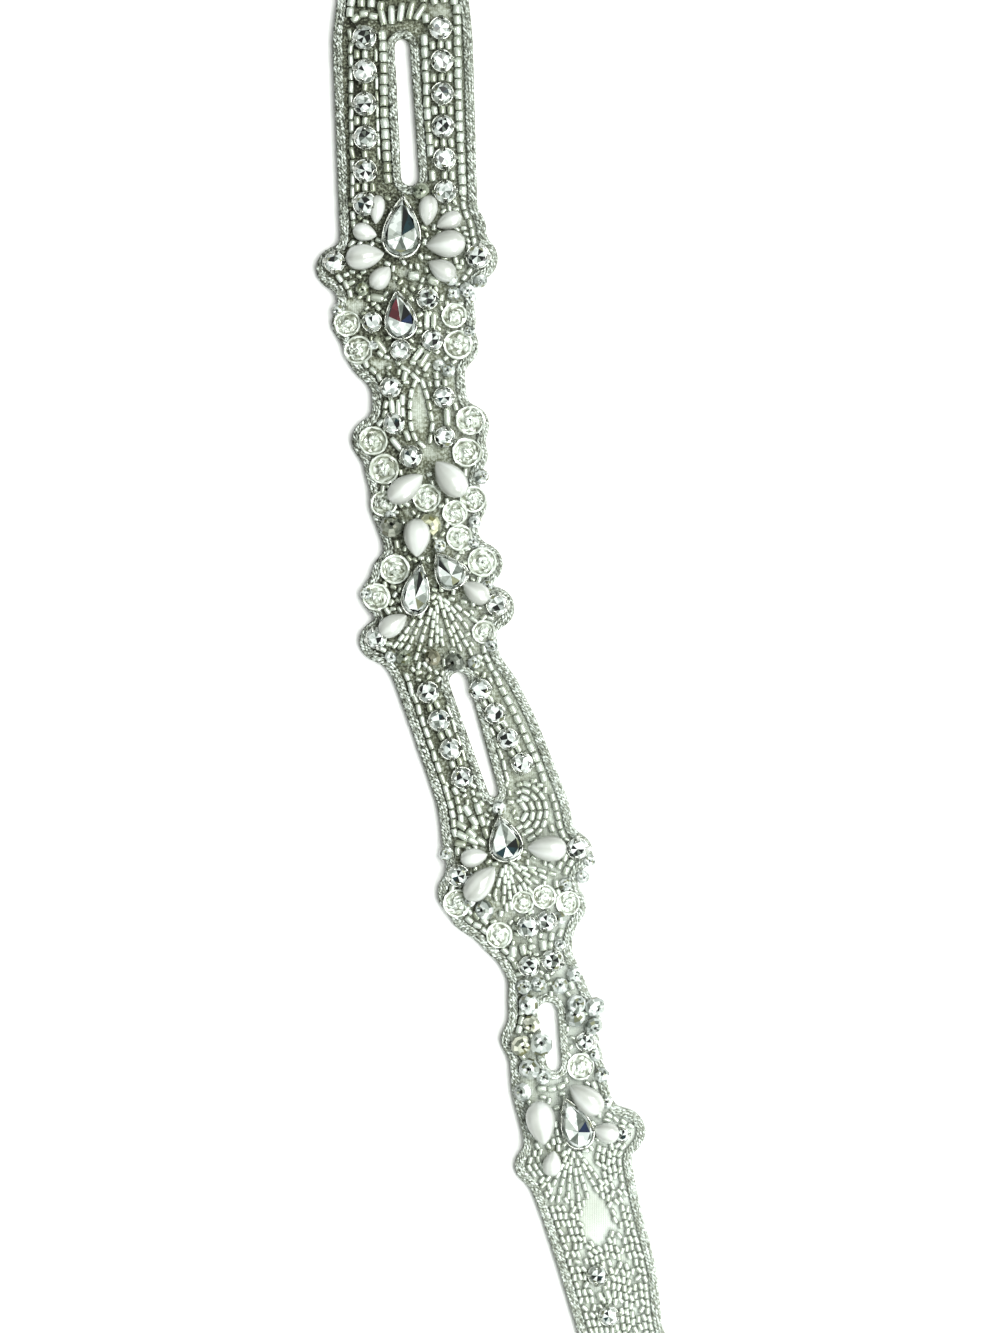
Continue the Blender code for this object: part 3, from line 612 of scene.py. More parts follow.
SKY = [
    (0.0, (0.42, 0.43, 0.42)), (0.10, (0.10, 0.11, 0.09)), (0.55, (0.16, 0.17, 0.15)),
    (0.80, (0.75, 0.79, 0.75)), (1.0, (1.0, 1.05, 1.0)),
]
SKY_STRENGTH = 0.85
world = bpy.data.worlds.new("studio")
world.use_nodes = True
nodes, link = world.node_tree.nodes, world.node_tree.links.new
direction, split, sky = (nodes.new("ShaderNode" + kind) for kind in ("TexCoord", "SeparateXYZ", "ValToRGB"))
set_stops(sky.color_ramp, SKY)
link(direction.outputs["Generated"], split.inputs[0])
link(split.outputs["Z"], sky.inputs["Fac"])
link(sky.outputs["Color"], nodes["Background"].inputs["Color"])
nodes["Background"].inputs["Strength"].default_value = SKY_STRENGTH
bpy.context.scene.world = world
print("finishes:", *[made.name for made in (CLOTH, CORD, BEAD, CRYSTAL, SETTING, PEARL, SEQUIN, SATIN)])

# %% [markdown]
# ## The backing cloth
# On the real sash this is one piece of cloth, cut round the scallops and through the slots after the
# beading. It could be bent from a grid, but a cut shape with holes is simpler as triangles between its
# outline, its slots and a field of inner points. The points also carry the cloth's painted light and shade:
# pale where the cloth is bare, painted light where the sash is washed with light, and painted shade where
# it lies dark between the beads and beside the stones.

# %% Backing cloth
GRID_STEP = 1.3
FIELD_MARGIN = 0.8
CLOTH_WALL = 1.1
FACE_DEPTH = 0.06
RIPPLE = 0.05
# How strongly painted light, the pale ground and painted shade show in the cloth's colour.
PAINTED_LIGHT_ON_CLOTH, BARE_ON_GROUND, PAINTED_SHADE_ON_CLOTH = 1.28, 0.8, 0.9
Window = namedtuple("Window", "px py half_width half_height")
# Places where painted shade darkens the cloth, in deep gaps between beads and beside stones.
PAINTED_SHADE_PLACES = listed(Window, """
    401 247 25 15, 521 1010 7 26, 402 338 16 8, 416 606 20 12, 586 1277 7 10, 606 1165 10 5,
    506 856 20 8, 450 590 16 8, 356 22 14 7, 355 100 5 70, 392 505 12 14, 556 1150 8 14
""")
WINDOWS = listed(Window, """
    420 408 9 26, 355 306 10 9, 381 364 9 7, 405 272 9 7, 597 1220 17 29, 440 12 14 9, 428 452 16 6,
    407 512 6 6, 395 287 6 6
""")
PALE_GROUND = listed(Window, "456 628 34 22, 418 628 22 14")


def in_windows(points, windows, gain=1.0):
    """How far inside the nearest window each point is: gain in its middle and 0 at its edge, up to 1."""
    most = np.zeros(len(points))
    for window in windows:
        middle = plan(window.px, window.py)
        half = np.array([window.half_width, window.half_height]) / PX_PER_MM
        most = np.maximum(most, 1.0 - np.sum(((points - middle) / half) ** 2, axis=1))
    return np.clip(gain * most, 0.0, 1.0)


def on_cloth(points):
    """Which points lie within the outline and in none of the slots."""
    return inside(points, OUTLINE) & ~np.any([inside(points, line) for line in SLOT_LINES], axis=0)


def cut_cloth():
    """Points and triangles between the outline, the slots and a field of inner points."""
    low, high = OUTLINE.min(axis=0), OUTLINE.max(axis=0)
    x, y = np.meshgrid(np.arange(low[0], high[0], GRID_STEP), np.arange(low[1], high[1], GRID_STEP))
    field = np.column_stack([x.ravel(), y.ravel()])
    lines = [OUTLINE, *SLOT_LINES]
    off_edges = np.min([distance_to_line(field, line) for line in lines], axis=0) > FIELD_MARGIN
    edges, first = [], 0
    for line in lines:
        edges += [(first + i, first + (i + 1) % len(line)) for i in range(len(line))]
        first += len(line)
    every = np.vstack([*lines, field[on_cloth(field) & off_edges]])
    found = delaunay_2d_cdt([Vector(point) for point in every], edges, [], 0, 1e-4, False)
    flat = np.array([tuple(point) for point in found[0]])
    faces = np.array(found[2])
    return flat, faces[on_cloth(flat[faces].mean(axis=1))]


def backing_cloth():
    """The cloth's face: z = cloth top + lift + a ripple of two slow waves, thickened downwards."""
    flat, faces = cut_cloth()
    ripple = RIPPLE * np.sin(flat[:, 0] * 0.9) * np.sin(flat[:, 1] * 0.55)
    z = CLOTH_TOP - FACE_DEPTH + lift(flat[:, 1]) + ripple
    # Pale in the bare windows and on the pale ground, painted light to the right and downwards, painted
    # shade in the shaded places.
    bare = np.maximum(in_windows(flat, WINDOWS, 2.0), PAINTED_LIGHT_ON_CLOTH * painted_light_at(flat))
    bare = np.maximum(bare, BARE_ON_GROUND * in_windows(flat, PALE_GROUND, 1.5))
    bare -= PAINTED_SHADE_ON_CLOTH * in_windows(flat, PAINTED_SHADE_PLACES, 1.6)
    made = shape(np.column_stack([flat, z]), faces)
    piece = mesh_piece("backing", made, CLOTH, point_values={"bare": bare})
    thicken(piece, CLOTH_WALL, -1.0)
    one, two = (flat[faces[:, i]] - flat[faces[:, 0]] for i in (1, 2))
    area = np.abs(one[:, 0] * two[:, 1] - one[:, 1] * two[:, 0]).sum() / 2
    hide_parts("band")
    print("cloth area in square mm:", round(area))


backing_cloth()

# %% [markdown]
# ## The silver edging
# The edge is finished with a narrow braid of metallic thread: three couched cords side by side, each
# twisted of two plies. So each ply is a tube whose centre runs in a helix round the cord's line. A
# bump map would look right from above only, and the edge is what a side view shows first.

# %% Silver cords
PLY_RADIUS = 0.22
PLY_SWELL = 1.2
PLY_SIDES = 5
LAYS = (1.3, 1.5, 1.7)
CORD_HEIGHTS = (0.42, 0.56, 0.42)
THREAD_NOISE = 0.06
PALE_CONTRAST, PALE_GLINT = 0.38, 0.32
EDGE_INSETS = (0.46, 0.98, 1.5)
SLOT_INSETS = (-0.46, -0.9, -1.34)


def tube(centre, radius, sides):
    """A closed tube: point = centre + radius (cos t across + sin t over), across and over at right
    angles to the tangent, which is the difference of the neighbouring points."""
    tangent = directions(np.roll(centre, -1, axis=0) - np.roll(centre, 1, axis=0))
    across = directions(np.cross(tangent, [0.0, 0.0, 1.0]))
    over = np.cross(across, tangent)
    turn = np.arange(sides) * 2 * math.pi / sides
    ring = np.cos(turn)[None, :, None] * across[:, None] + np.sin(turn)[None, :, None] * over[:, None]
    points = (centre[:, None] + radius * ring).reshape(-1, 3)
    return shape(points, grid_faces(len(centre), sides, True, True)[:, ::-1])


def twisted_cord(line, inset, lay, height):
    """Two plies round a line in the plan: each ply's centre is the line, inset, plus a circle of the
    ply's radius whose angle grows by a full turn for each length of lay."""
    direction = outward(line)
    way = line - inset * direction
    along = walked(np.vstack([way, way[:1]]))
    angle = along[:-1] / along[-1] * max(1, round(along[-1] / lay)) * 2 * math.pi
    plies = []
    for start in (0.0, math.pi):
        across = PLY_RADIUS * np.cos(angle + start)[:, None] * direction
        over = PLY_RADIUS * np.sin(angle + start) + height + lift(way[:, 1])
        plies.append(tube(np.column_stack([way + across, over]), PLY_RADIUS * PLY_SWELL, PLY_SIDES))
    return joined(*plies)


def edging(name, line, insets, nodes):
    """The braid along a closed line: one twisted cord for each inset, with its own twist."""
    made = joined(*[
        twisted_cord(line, inset, lay, CLOTH_TOP + height)
        for inset, lay, height in zip(insets, LAYS, CORD_HEIGHTS)
    ])
    rng = np.random.default_rng(len(made.points))
    made = made._replace(points=made.points + rng.normal(0.0, THREAD_NOISE, made.points.shape))
    # Painted glints and painted shade at random points, and painted light: paler to the right and
    # downwards.
    drawn = 0.5 - 0.5 * np.cos(math.pi * rng.random(len(made.points)))
    pale = painted_light_at(made.points)
    glint = drawn * (1.0 - PALE_CONTRAST * pale) + PALE_GLINT * pale
    piece = mesh_piece(name, made, CORD, point_values={"glint": glint})
    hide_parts(*nodes)


edging("edge_braid", softened(resampled(band_outline(0.9), 0.31), 2), EDGE_INSETS, ["edge_cord"])
for slot in SLOTS:
    fine = resampled(slot_outline(slot, 0.8), 0.28)
    edging(f"slot_braid_{slot.name}", fine, SLOT_INSETS, [f"slot_cord_{slot.name}"])

# %% [markdown]
# ## Drop pearls
# Each pearl is a teardrop turned round its own axis and lying on its side. The outline is one
# formula: half the length times cos a along the pearl, and a width that is sin a times sin(a/2) to
# a power, which is round at one end and pointed at the other.

# %% Pearls
PEARL_TAPER = 0.5
CRYSTAL_TAPER = 1.05
PEARL_SCALE = (1.05, 1.17, 1.04)
PEARL_RINGS, PEARL_SIDES = 26, 28
PEARL_FOOT = 0.25


def drop_profile(angles, taper):
    """Along and across a drop of length 2 and width 2."""
    fine = np.linspace(0.0, math.pi, 400)
    most = np.max(np.sin(fine) * np.sin(fine / 2) ** taper)
    return np.cos(angles), np.sin(angles) * np.abs(np.sin(angles / 2)) ** taper / most


def drop_places(drops, height):
    """The centre and the two directions of each drop, for copies."""
    centre = np.array([[d.x, d.y, height(d) + float(lift(d.y))] for d in drops])
    ahead = np.array([[*heading(d.point), 0.0] for d in drops])
    up = np.tile([0.0, 0.0, 1.0], (len(drops), 1))
    return centre, ahead, up


def pearls():
    """Pearls with faint lengthwise ridges: four waves round the axis shrink each point by its share."""
    along, across = drop_profile(np.linspace(0.05, math.pi - 0.05, PEARL_RINGS), PEARL_TAPER)
    unit = turned(along[::-1], across[::-1], PEARL_SIDES, caps=True)
    centre, ahead, up = drop_places(PEARLS, lambda d: CLOTH_TOP + PEARL_FOOT + d.width / 2)
    scale = np.array([[d.length / 2, d.width / 2, d.width / 2] for d in PEARLS]) * PEARL_SCALE
    turn = np.arctan2(unit.points[:, 2], unit.points[:, 1])
    phase = np.random.default_rng(4).uniform(0.0, 2 * math.pi, (4, len(PEARLS), 1))
    waves = [np.sin(k * turn + shift) for k, shift in zip((2, 3, 5, 9), phase)]
    streak = 0.5 + 0.14 * waves[0] + 0.12 * waves[1] + 0.14 * waves[2] + 0.10 * waves[3]
    made = copies(unit, centre, ahead, up, scale)
    inwards = 0.10 * (waves[0] + waves[1] + 0.6 * waves[2]).reshape(-1, 1)
    middle = np.repeat(centre, len(unit.points), axis=0)
    made = made._replace(points=made.points - (made.points - middle) * (0.3 + inwards) * 0.12)
    piece = mesh_piece("drop_pearls", made, PEARL, point_values={"streak": streak.ravel()})
    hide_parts(*[f"pearl_{i:02d}" for i in range(1, len(PEARLS) + 1)])


pearls()

# %% [markdown]
# ## Pear-cut stones
# A pear stone shows the large facets of its foiled back through its table, like a fan round one point,
# inside a ring of small crown facets. Each fan facet has its painted reflection from a list, anticlockwise
# from the tip, because in the photograph each stone has its own dark and bright side. The stone sits in a
# metal cup whose rim shows as a thin line, held by claws.

# %% Pear stones
# Tones for the painted reflections in the facets of the stones and the round beads.
TONES = {
    "black": (0.002, 0.003, 0.003), "teal": (0.004, 0.022, 0.028), "navy": (0.006, 0.018, 0.06),
    "wine": (0.09, 0.012, 0.018), "grey": (0.14, 0.16, 0.14), "olive": (0.20, 0.21, 0.13),
    "mist": (0.34, 0.37, 0.34), "pale": (0.54, 0.58, 0.56), "white": (0.80, 0.84, 0.83),
}
FAN_FACETS = 10
CRYSTAL_HEIGHT = 4.2
CRYSTAL_SCALE = 0.97
RIM_PROFILE = [(0.93, 0.0), (1.04, 0.0), (1.07, 0.45), (1.07, 0.58), (1.0, 0.60), (0.98, 0.5)]
CLAW_PARTS = np.array([0.0, 0.16, 0.33, 0.5, 0.67, 0.84])
PEAR_FANS = [
    "grey pale pale mist white grey white mist teal black",
    "pale wine wine pale white white white navy black grey",
    "black grey white white pale white olive mist white black",
    "grey black white mist pale olive white grey white mist",
    "mist white white pale teal white teal black mist grey",
    "pale white mist white grey white white navy grey white",
]


def drawn_tones(count, names, shares, seed):
    """So many colours, drawn from the named tones by their shares."""
    rng = np.random.default_rng(seed)
    table = np.array([TONES[name] for name in names.split()])
    shares = np.array(shares, float)
    drawn = table[rng.choice(len(table), count, p=shares / shares.sum())]
    return drawn * rng.uniform(0.85, 1.0, (count, 1))


def crystal_unit():
    """A fan inside the table, then rings: table, stars, kites and girdle, on a drop's outline.

    Ring k has points at the angles 2 pi (i + k/2) / n, so that each ring is turned by half a facet.
    The first n faces are the fan, and the last two of them hold the tip and the facet to its left.
    """
    count = FAN_FACETS
    levels = [(1.0, 0.55), (0.95, 0.70), (0.86, 0.92), (0.78, 1.0)]
    points = []
    for ring, (scale, height) in enumerate(levels):
        angles = 2 * math.pi * (np.arange(count) + ring / 2) / count
        along, across = drop_profile(angles, CRYSTAL_TAPER)
        along = scale * along - (1 - scale) * 0.3
        points.append(np.column_stack([along, scale * across, np.full(count, height)]))
    along, across = drop_profile(2 * math.pi * np.arange(count) / count, CRYSTAL_TAPER)
    points += [np.column_stack([0.9 * along, 0.9 * across, np.zeros(count)]), [[-0.35, 0.0, 1.0]]]
    table, base, centre = 3 * count, 4 * count, 5 * count
    sides = [(i, (i + 1) % count) for i in range(count)]
    faces = [(table + i, table + j, centre) for i, j in sides]
    for low in range(0, table, count):
        high = low + count
        for i, j in sides:
            faces += [(low + i, low + j, high + i), (low + j, high + j, high + i)]
    faces += [(base + i, base + j, j, i) for i, j in sides]
    faces.append(tuple(range(base, centre))[::-1])
    return shape(np.vstack(points), faces)


def rim_unit(sections, profile):
    """A strip carried round the drop's outline: profile is (scale, height) pairs, closed."""
    angles = 2 * math.pi * np.arange(sections) / sections
    along, across = drop_profile(angles, CRYSTAL_TAPER)
    points = np.stack([
        np.column_stack([s * along, s * across, np.full(sections, h)]) for s, h in profile
    ], axis=1).reshape(-1, 3)
    return shape(points, grid_faces(sections, len(profile), True, True)[:, ::-1])


def claw(along, across, reach, width):
    """A claw: a small bar that climbs the cup at one place of the outline and bends over the stone."""
    outward_way = np.array([along, across]) / max(math.hypot(along, across), 1e-6)
    side = np.array([-outward_way[1], outward_way[0]]) * width
    line = [(1.06, 0.0), (1.08, 0.55), (1.02, 0.70), (1.0 - reach, 0.80)]
    points = []
    for scale, height in line:
        here = np.array([along, across]) * scale
        thick = 0.05 * outward_way
        for corner in (here + side + thick, here - side + thick, here - side - thick, here + side - thick):
            points.append((*corner, height + (0.05 if scale < 1.0 else 0.0)))
    return shape(points, [*grid_faces(len(line), 4, False, True), (0, 1, 2, 3), (15, 14, 13, 12)])


def crystals():
    """The stones with the painted reflections of their facets, drawn and listed, and a cup with six claws
    for each.
    """
    centre, ahead, up = drop_places(CRYSTALS, lambda d: CLOTH_TOP + 0.1)
    scale = np.array([
        [d.length / 2 * CRYSTAL_SCALE, d.width / 2 * CRYSTAL_SCALE, CRYSTAL_HEIGHT] for d in CRYSTALS
    ])
    unit = crystal_unit()
    stone = copies(unit, centre, ahead, up, scale)
    drawn = drawn_tones(len(stone.sizes), "black grey olive mist pale white", [2, 2, 1, 2, 3, 4], 11)
    for number, fan in enumerate(PEAR_FANS):
        first = number * len(unit.sizes)
        order = first + (np.arange(FAN_FACETS) - 2) % FAN_FACETS
        drawn[order] = [TONES[name] for name in fan.split()]
    piece = mesh_piece("pear_stones", stone, CRYSTAL, smooth=False, face_colours=drawn)
    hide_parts(*[f"crystal_{i}" for i in range(1, len(CRYSTALS) + 1)])
    along, across = drop_profile(2 * math.pi * CLAW_PARTS, CRYSTAL_TAPER)
    claws = [claw(a, c, 0.2 if a < 0.9 else 0.1, 0.07) for a, c in zip(along, across)]
    setting = copies(joined(rim_unit(48, RIM_PROFILE), *claws), centre, ahead, up, scale)
    mesh_piece("pear_settings", setting, SETTING)


crystals()

# %% [markdown]
# ## Round stones, cup sequins and round beads
# A round stone has a table with eight facets round it and sits in a four-claw cup. A cup sequin is a
# clear dished disc with a raised ring, held down by a bead. Round beads stand with their hole up.
# The lists give the places as pixels of the photograph, across and down, and the size in millimetres.

# %% Places of the round stones, the sequins and the round beads
Stone = namedtuple("Stone", "px py size")
StoneRow = namedtuple("StoneRow", "px_first py_first px_last py_last size count")
STONE_ROWS = listed(StoneRow, """
    365 38 365 204 4.9 6, 440 29 445 192 4.7 6, 428 692 462 777 4.5 4, 481 689 522 763 4.5 4,
    598 1275 621 1356 4.2 3, 402 -63 402 -123 4.6 2, 645 1413 658 1459 4.4 2
""")
STONES = listed(Stone, """
    335 262 4.4, 478 257 5, 427 299 4.6, 401 350 4.4, 432 341 4.5, 372 322 4.2, 391 388 4.4,
    394 423 4.4, 444 397 4.4, 445 437 4.3, 411 457 4.6, 457 574 5, 497 605 4.6, 377 638 4.4,
    528 927 4.6, 547 921 4.3, 529 966 4.4, 553 960 4.6, 578 848 4.6, 458 875 4.6, 585 1042 4, 623 1135 3
""")
SEQUINS = listed(Stone, """
    347 324 5.4, 359 350 5.8, 454 316 5.2, 458 345 6, 373 441 6, 384 469 6.2, 427 498 5.8, 384 504 5.4,
    470 421 6, 467 453 6, 473 499 5.4, 455 513 5.2, 460 537 5.4, 395 569 6, 376 597 5.6, 482 562 6,
    457 903 5.8, 499 935 5.4, 523 902 4.6, 568 903 5, 581 1067 5.6, 484 632 4.8, 544 897 5
""")
ROUND_BEADS = listed(Stone, """
    421 192 3.5, 363 287 3, 500 806 3, 391 531 4.8, 431 523 4.8, 389 517 2.6, 366 592 2.6, 404 659 3.4,
    458 661 4, 436 655 3.6, 489 909 4.2, 472 901 2.8, 565 884 2.8, 564 917 3, 583 877 2.8, 533 1003 4.4,
    534 1022 3.8, 518 1043 4.4, 541 1047 4.8, 531 1068 4.4, 543 1077 3.2, 526 1092 3.8, 592 1003 4.4,
    574 1004 4, 577 1022 4.2, 592 1023 3.8, 524 988 3.2, 539 986 3.4, 560 987 3.6, 571 973 3.2,
    480 280 3, 467 287 3.2, 455 293 2.8, 449 281 3, 473 296 2.6, 438 362 2.6, 449 370 3, 479 478 3.2,
    440 545 2.8, 474 545 2.4, 476 521 2.8, 486 586 2.6, 492 643 2.8, 391 656 2.6, 472 664 2.8,
    560 946 2.6, 603 1077 3, 606 1103 2.8, 597 1056 2.6, 340 307 2.4, 470 330 2.4, 373 348 2.4,
    470 876 2.4, 445 855 2.6, 590 860 2.6
""")
BEAD_TINTS = {
    (391, 531): (0.40, 0.40, 0.34), (431, 523): (0.90, 0.86, 0.62), (436, 655): (0.40, 0.365, 0.27),
    (458, 661): (0.22, 0.23, 0.20), (404, 659): (0.45, 0.47, 0.38), (534, 1022): (0.96, 0.93, 0.80),
    (518, 1043): (0.95, 0.92, 0.78), (363, 287): (0.60, 0.62, 0.50), (421, 192): (0.50, 0.52, 0.42),
}


def all_stones():
    """The single stones and those of the rows."""
    found = list(STONES)
    for row in STONE_ROWS:
        for part in np.linspace(0.0, 1.0, int(row.count)):
            px = row.px_first + part * (row.px_last - row.px_first)
            py = row.py_first + part * (row.py_last - row.py_first)
            found.append(Stone(px, py, row.size))
    return found


print("round stones:", len(all_stones()), "sequins:", len(SEQUINS), "round beads:", len(ROUND_BEADS))

# %% [markdown]
# ## The shapes of the round pieces
# Each kind is worked out once with a radius of 1 and copied to its places, a little turned and tilted by
# chance, because no two are sewn on alike. The first faces of the stone are its table, so that they can
# have painted reflections of their own.

# %% Round stones, sequins and round beads
def upright_places(stones, foot, seed, lean=0.05):
    """Centres on the cloth, a direction at random and a slight lean, and the scale of each."""
    rng = np.random.default_rng(seed)
    places = np.array([plan(s.px, s.py) for s in stones])
    centre = np.column_stack([places, CLOTH_TOP + foot + lift(places[:, 1])])
    up = directions(np.column_stack([rng.normal(0.0, lean, (len(stones), 2)), np.ones(len(stones))]))
    turn = rng.normal(math.pi / 4, 0.25, len(stones))
    ahead = np.column_stack([np.cos(turn), np.sin(turn), np.zeros(len(stones))])
    ahead = directions(ahead - np.sum(ahead * up, axis=1)[:, None] * up)
    return centre, ahead, up, np.array([[s.size / 2] * 3 for s in stones])


def round_stone_unit():
    """A round cut of radius 1: a fan of eight in the table, eight stars, eight kites, sixteen girdle
    facets and a wall."""
    def ring(count, radius, height, shift):
        turn = 2 * math.pi * (np.arange(count) + shift) / count
        return np.column_stack([radius * np.cos(turn), radius * np.sin(turn), np.full(count, height)])

    points = np.vstack([
        ring(8, 0.56, 1.10, 0.0), ring(8, 0.76, 1.0, 0.5), ring(16, 0.9, 0.78, 0.0),
        ring(16, 0.84, 0.3, 0.0), [[0.0, 0.0, 1.10]],
    ])
    faces = [(i, (i + 1) % 8, 48) for i in range(8)]
    for i in range(8):
        j = (i + 1) % 8
        girdle = 16 + 2 * i
        following = 16 + (2 * i + 2) % 16
        faces += [(i, 8 + i, j), (8 + i, girdle + 1, following), (8 + i, following, 8 + j, j)]
        faces.append((8 + i, girdle, girdle + 1))
    faces += [(16 + (i + 1) % 16, 16 + i, 32 + i, 32 + (i + 1) % 16) for i in range(16)]
    faces.append(tuple(32 + i for i in range(16))[::-1])
    return shape(points, faces)


def round_setting_unit():
    """A cup of radius 1 with four claws that bend over the girdle."""
    wall = stood_up(turned([0.0, 0.0, 0.74, 0.8, 0.72], [0.7, 0.92, 0.99, 0.93, 0.9], 20, wrap=True))
    bars = joined(*[claw(*(heading(turn) * 0.98), 0.30, 0.19) for turn in (45.0, 135.0, 225.0, 315.0)])
    return joined(wall, bars._replace(points=bars.points * [1.0, 1.0, 1.42]))


CUP_SIDES = 18
# Each row is (height, radius, shine): shine is the ring's painted highlight or painted shade.
CUP_PROFILE = [
    (0.10, 0.60, 0.2), (0.34, 1.0, 0.35), (0.42, 0.96, 0.75), (0.40, 0.86, 0.72), (0.28, 0.79, 0.3),
    (0.24, 0.70, 0.5), (0.28, 0.58, 0.6), (0.22, 0.46, 0.45), (0.26, 0.36, 0.55),
    (0.46, 0.30, 0.75), (0.54, 0.18, 0.85), (0.52, 0.06, 0.8), (0.12, 0.06, 0.4),
]
CUP_CRUMPLE = 0.055
ROUND_BEAD_SIDES = 10
ROUND_BEAD_LEAN = 0.4
HOLE_SHADE = 0.2


def cup_sequin_unit():
    """A dished disc of radius 1 whose profile is (height, radius): rim, groove, ring and bead."""
    return stood_up(turned([p[0] for p in CUP_PROFILE], [p[1] for p in CUP_PROFILE], CUP_SIDES, wrap=True))


def round_bead_unit():
    """A round bead of radius 1 with its hole up: rings at six angles of a ball, then the hole."""
    angles = np.radians([150.0, 118.0, 90.0, 62.0, 38.0, 22.0])
    heights = np.append(np.cos(angles) * 0.8 + 0.75, [1.25, 1.1])
    radii = np.append(np.sin(angles), [0.16, 0.1])
    return stood_up(turned(heights, radii, ROUND_BEAD_SIDES, wrap=True))


def stones():
    """Round stones in their cups, with painted reflections: bright crowns and more contrast in the eight
    facets of the table.
    """
    centre, ahead, up, scale = upright_places(all_stones(), 0.15, 5)
    cut = copies(round_stone_unit(), centre, ahead, up, scale)
    drawn = drawn_tones(len(cut.sizes), "black grey olive mist pale white", [1, 2, 1, 3, 3, 8], 21)
    table = np.arange(len(cut.sizes)) % (len(cut.sizes) // len(centre)) < 8
    drawn[table] = drawn_tones(table.sum(), "black teal grey pale white", [4, 1, 2, 3, 6], 22)
    mesh_piece("round_stones", cut, CRYSTAL, smooth=False, face_colours=drawn)
    mesh_piece("round_settings", copies(round_setting_unit(), centre, ahead, up, scale), SETTING)


def sequins():
    """Cups whose points are moved a little and whose rings have painted highlights by chance, paler to the
    right and downwards.
    """
    centre, ahead, up, scale = upright_places(SEQUINS, 0.1, 6)
    cups = copies(cup_sequin_unit(), centre, ahead, up, scale)
    rings = np.repeat([p[2] for p in CUP_PROFILE], CUP_SIDES)
    within = np.repeat([0.4 if p[1] > 0.8 else 1.0 for p in CUP_PROFILE], CUP_SIDES)
    rng = np.random.default_rng(8)
    sparkle = rng.normal(0.0, 0.30, (len(SEQUINS), len(rings))) * (0.3 + 0.7 * within)
    lit = 0.15 * np.repeat(painted_light_at(centre)[:, None], len(rings), axis=1)
    shine = np.clip(rings[None] + sparkle + lit, 0.0, 1.0).ravel()
    crumple = rng.normal(0.0, CUP_CRUMPLE, (len(SEQUINS), len(rings), 3))
    crumple = crumple * within[None, :, None] * scale[:, None, :]
    cups = cups._replace(points=cups.points + crumple.reshape(-1, 3))
    mesh_piece("cup_sequins", cups, SEQUIN, smooth=False, point_values={"shine": shine})


def round_beads():
    """Round beads with painted reflections on their facets in drawn tones, painted shade in the hole, and a
    few in the tint seen in the photograph.
    """
    centre, ahead, up, scale = upright_places(ROUND_BEADS, 0.05, 7, ROUND_BEAD_LEAN)
    made = copies(round_bead_unit(), centre, ahead, up, scale)
    drawn = drawn_tones(len(made.sizes), "grey olive mist pale white", [2, 2, 4, 5, 6], 31)
    per_bead = len(made.sizes) // len(ROUND_BEADS)
    drawn[np.arange(len(drawn)) % per_bead >= 6 * ROUND_BEAD_SIDES] *= HOLE_SHADE
    tints = [BEAD_TINTS.get((bead.px, bead.py), (1.0, 1.0, 1.0)) for bead in ROUND_BEADS]
    drawn *= np.repeat(tints, per_bead, axis=0)
    mesh_piece("round_beads", made, CRYSTAL, smooth=False, face_colours=drawn)


stones()
sequins()
round_beads()

# %% [markdown]
# ## Strands of small beads
# Between the stones the sash is filled with strands of short glass tubes, each bead sewn end to end
# with the next. A strand is a line of a few points. It is rounded off, and beads are set on it a
# pitch apart, each turned along the line. A bead that would lie in a stone or a pearl is left out,
# because on the real sash the strand stops there too.

# %% Strands
Strand = namedtuple("Strand", "pitch width points")
BeadPlace = namedtuple("BeadPlace", "x y tone angle length width")
END_GAP = 0.08
TANGENT_STEP = 0.3
SPACER_PITCH, SPACER_HALF, SPACER_TONE = 8.0, 5.0, 0.8
bead_places = []


def strands(text):
    """Strands from a text: commas part them, and each is a pitch, a width and its points in pixels."""
    for row in text.split(","):
        pitch, width, *places = map(float, row.split())
        yield Strand(pitch, width, list(zip(places[::2], places[1::2])))


def rounded(points):
    """Corner cutting: each stretch keeps its middle half, three times over, with the ends kept."""
    for _ in range(3):
        first, last = points[:1], points[-1:]
        near = 0.75 * points[:-1] + 0.25 * points[1:]
        far = 0.25 * points[:-1] + 0.75 * points[1:]
        points = np.vstack([first, np.stack([near, far], axis=1).reshape(-1, 2), last])
    return points


def add_strand(strand, tone=1.0):
    """Beads at equal steps along the rounded line, turned along it."""
    line = np.array([plan(px, py) for px, py in strand.points])
    line = rounded(line) if len(line) > 2 else line
    along = walked(line)
    count = max(1, int(along[-1] / strand.pitch + 0.3))
    wanted = (np.arange(count) + 0.5) * along[-1] / count
    (x, y), (x2, y2), (x1, y1) = (
        [np.interp(wanted + step, along, line[:, i]) for i in range(2)]
        for step in (0.0, TANGENT_STEP, -TANGENT_STEP)
    )
    angle = np.arctan2(y2 - y1, x2 - x1)
    length = along[-1] / count - END_GAP
    for i in range(count):
        bead_places.append(BeadPlace(x[i], y[i], tone, angle[i], length, strand.width))


def fan(px, py, near, far, first, last, count, pitch, width):
    """Straight strands that leave one point, from near to far in pixels, between two headings."""
    for number, degrees in enumerate(np.linspace(first, last, count)):
        way = heading(degrees + 2.0 * math.sin(4.1 * number)) * FLIP_Y
        uneven = 4.5 * math.sin(2.3 * number)
        add_strand(Strand(pitch, width, [(px, py) + (reach + uneven) * way for reach in (near, far)]))


def arcs(px, py, radii, first, last, pitch, width):
    """Strands on circles round one point, with radii in pixels, between two headings."""
    ways = [heading(degrees) * FLIP_Y for degrees in np.linspace(first, last, 9)]
    for radius in radii:
        add_strand(Strand(pitch, width, [(px, py) + radius * way for way in ways]))


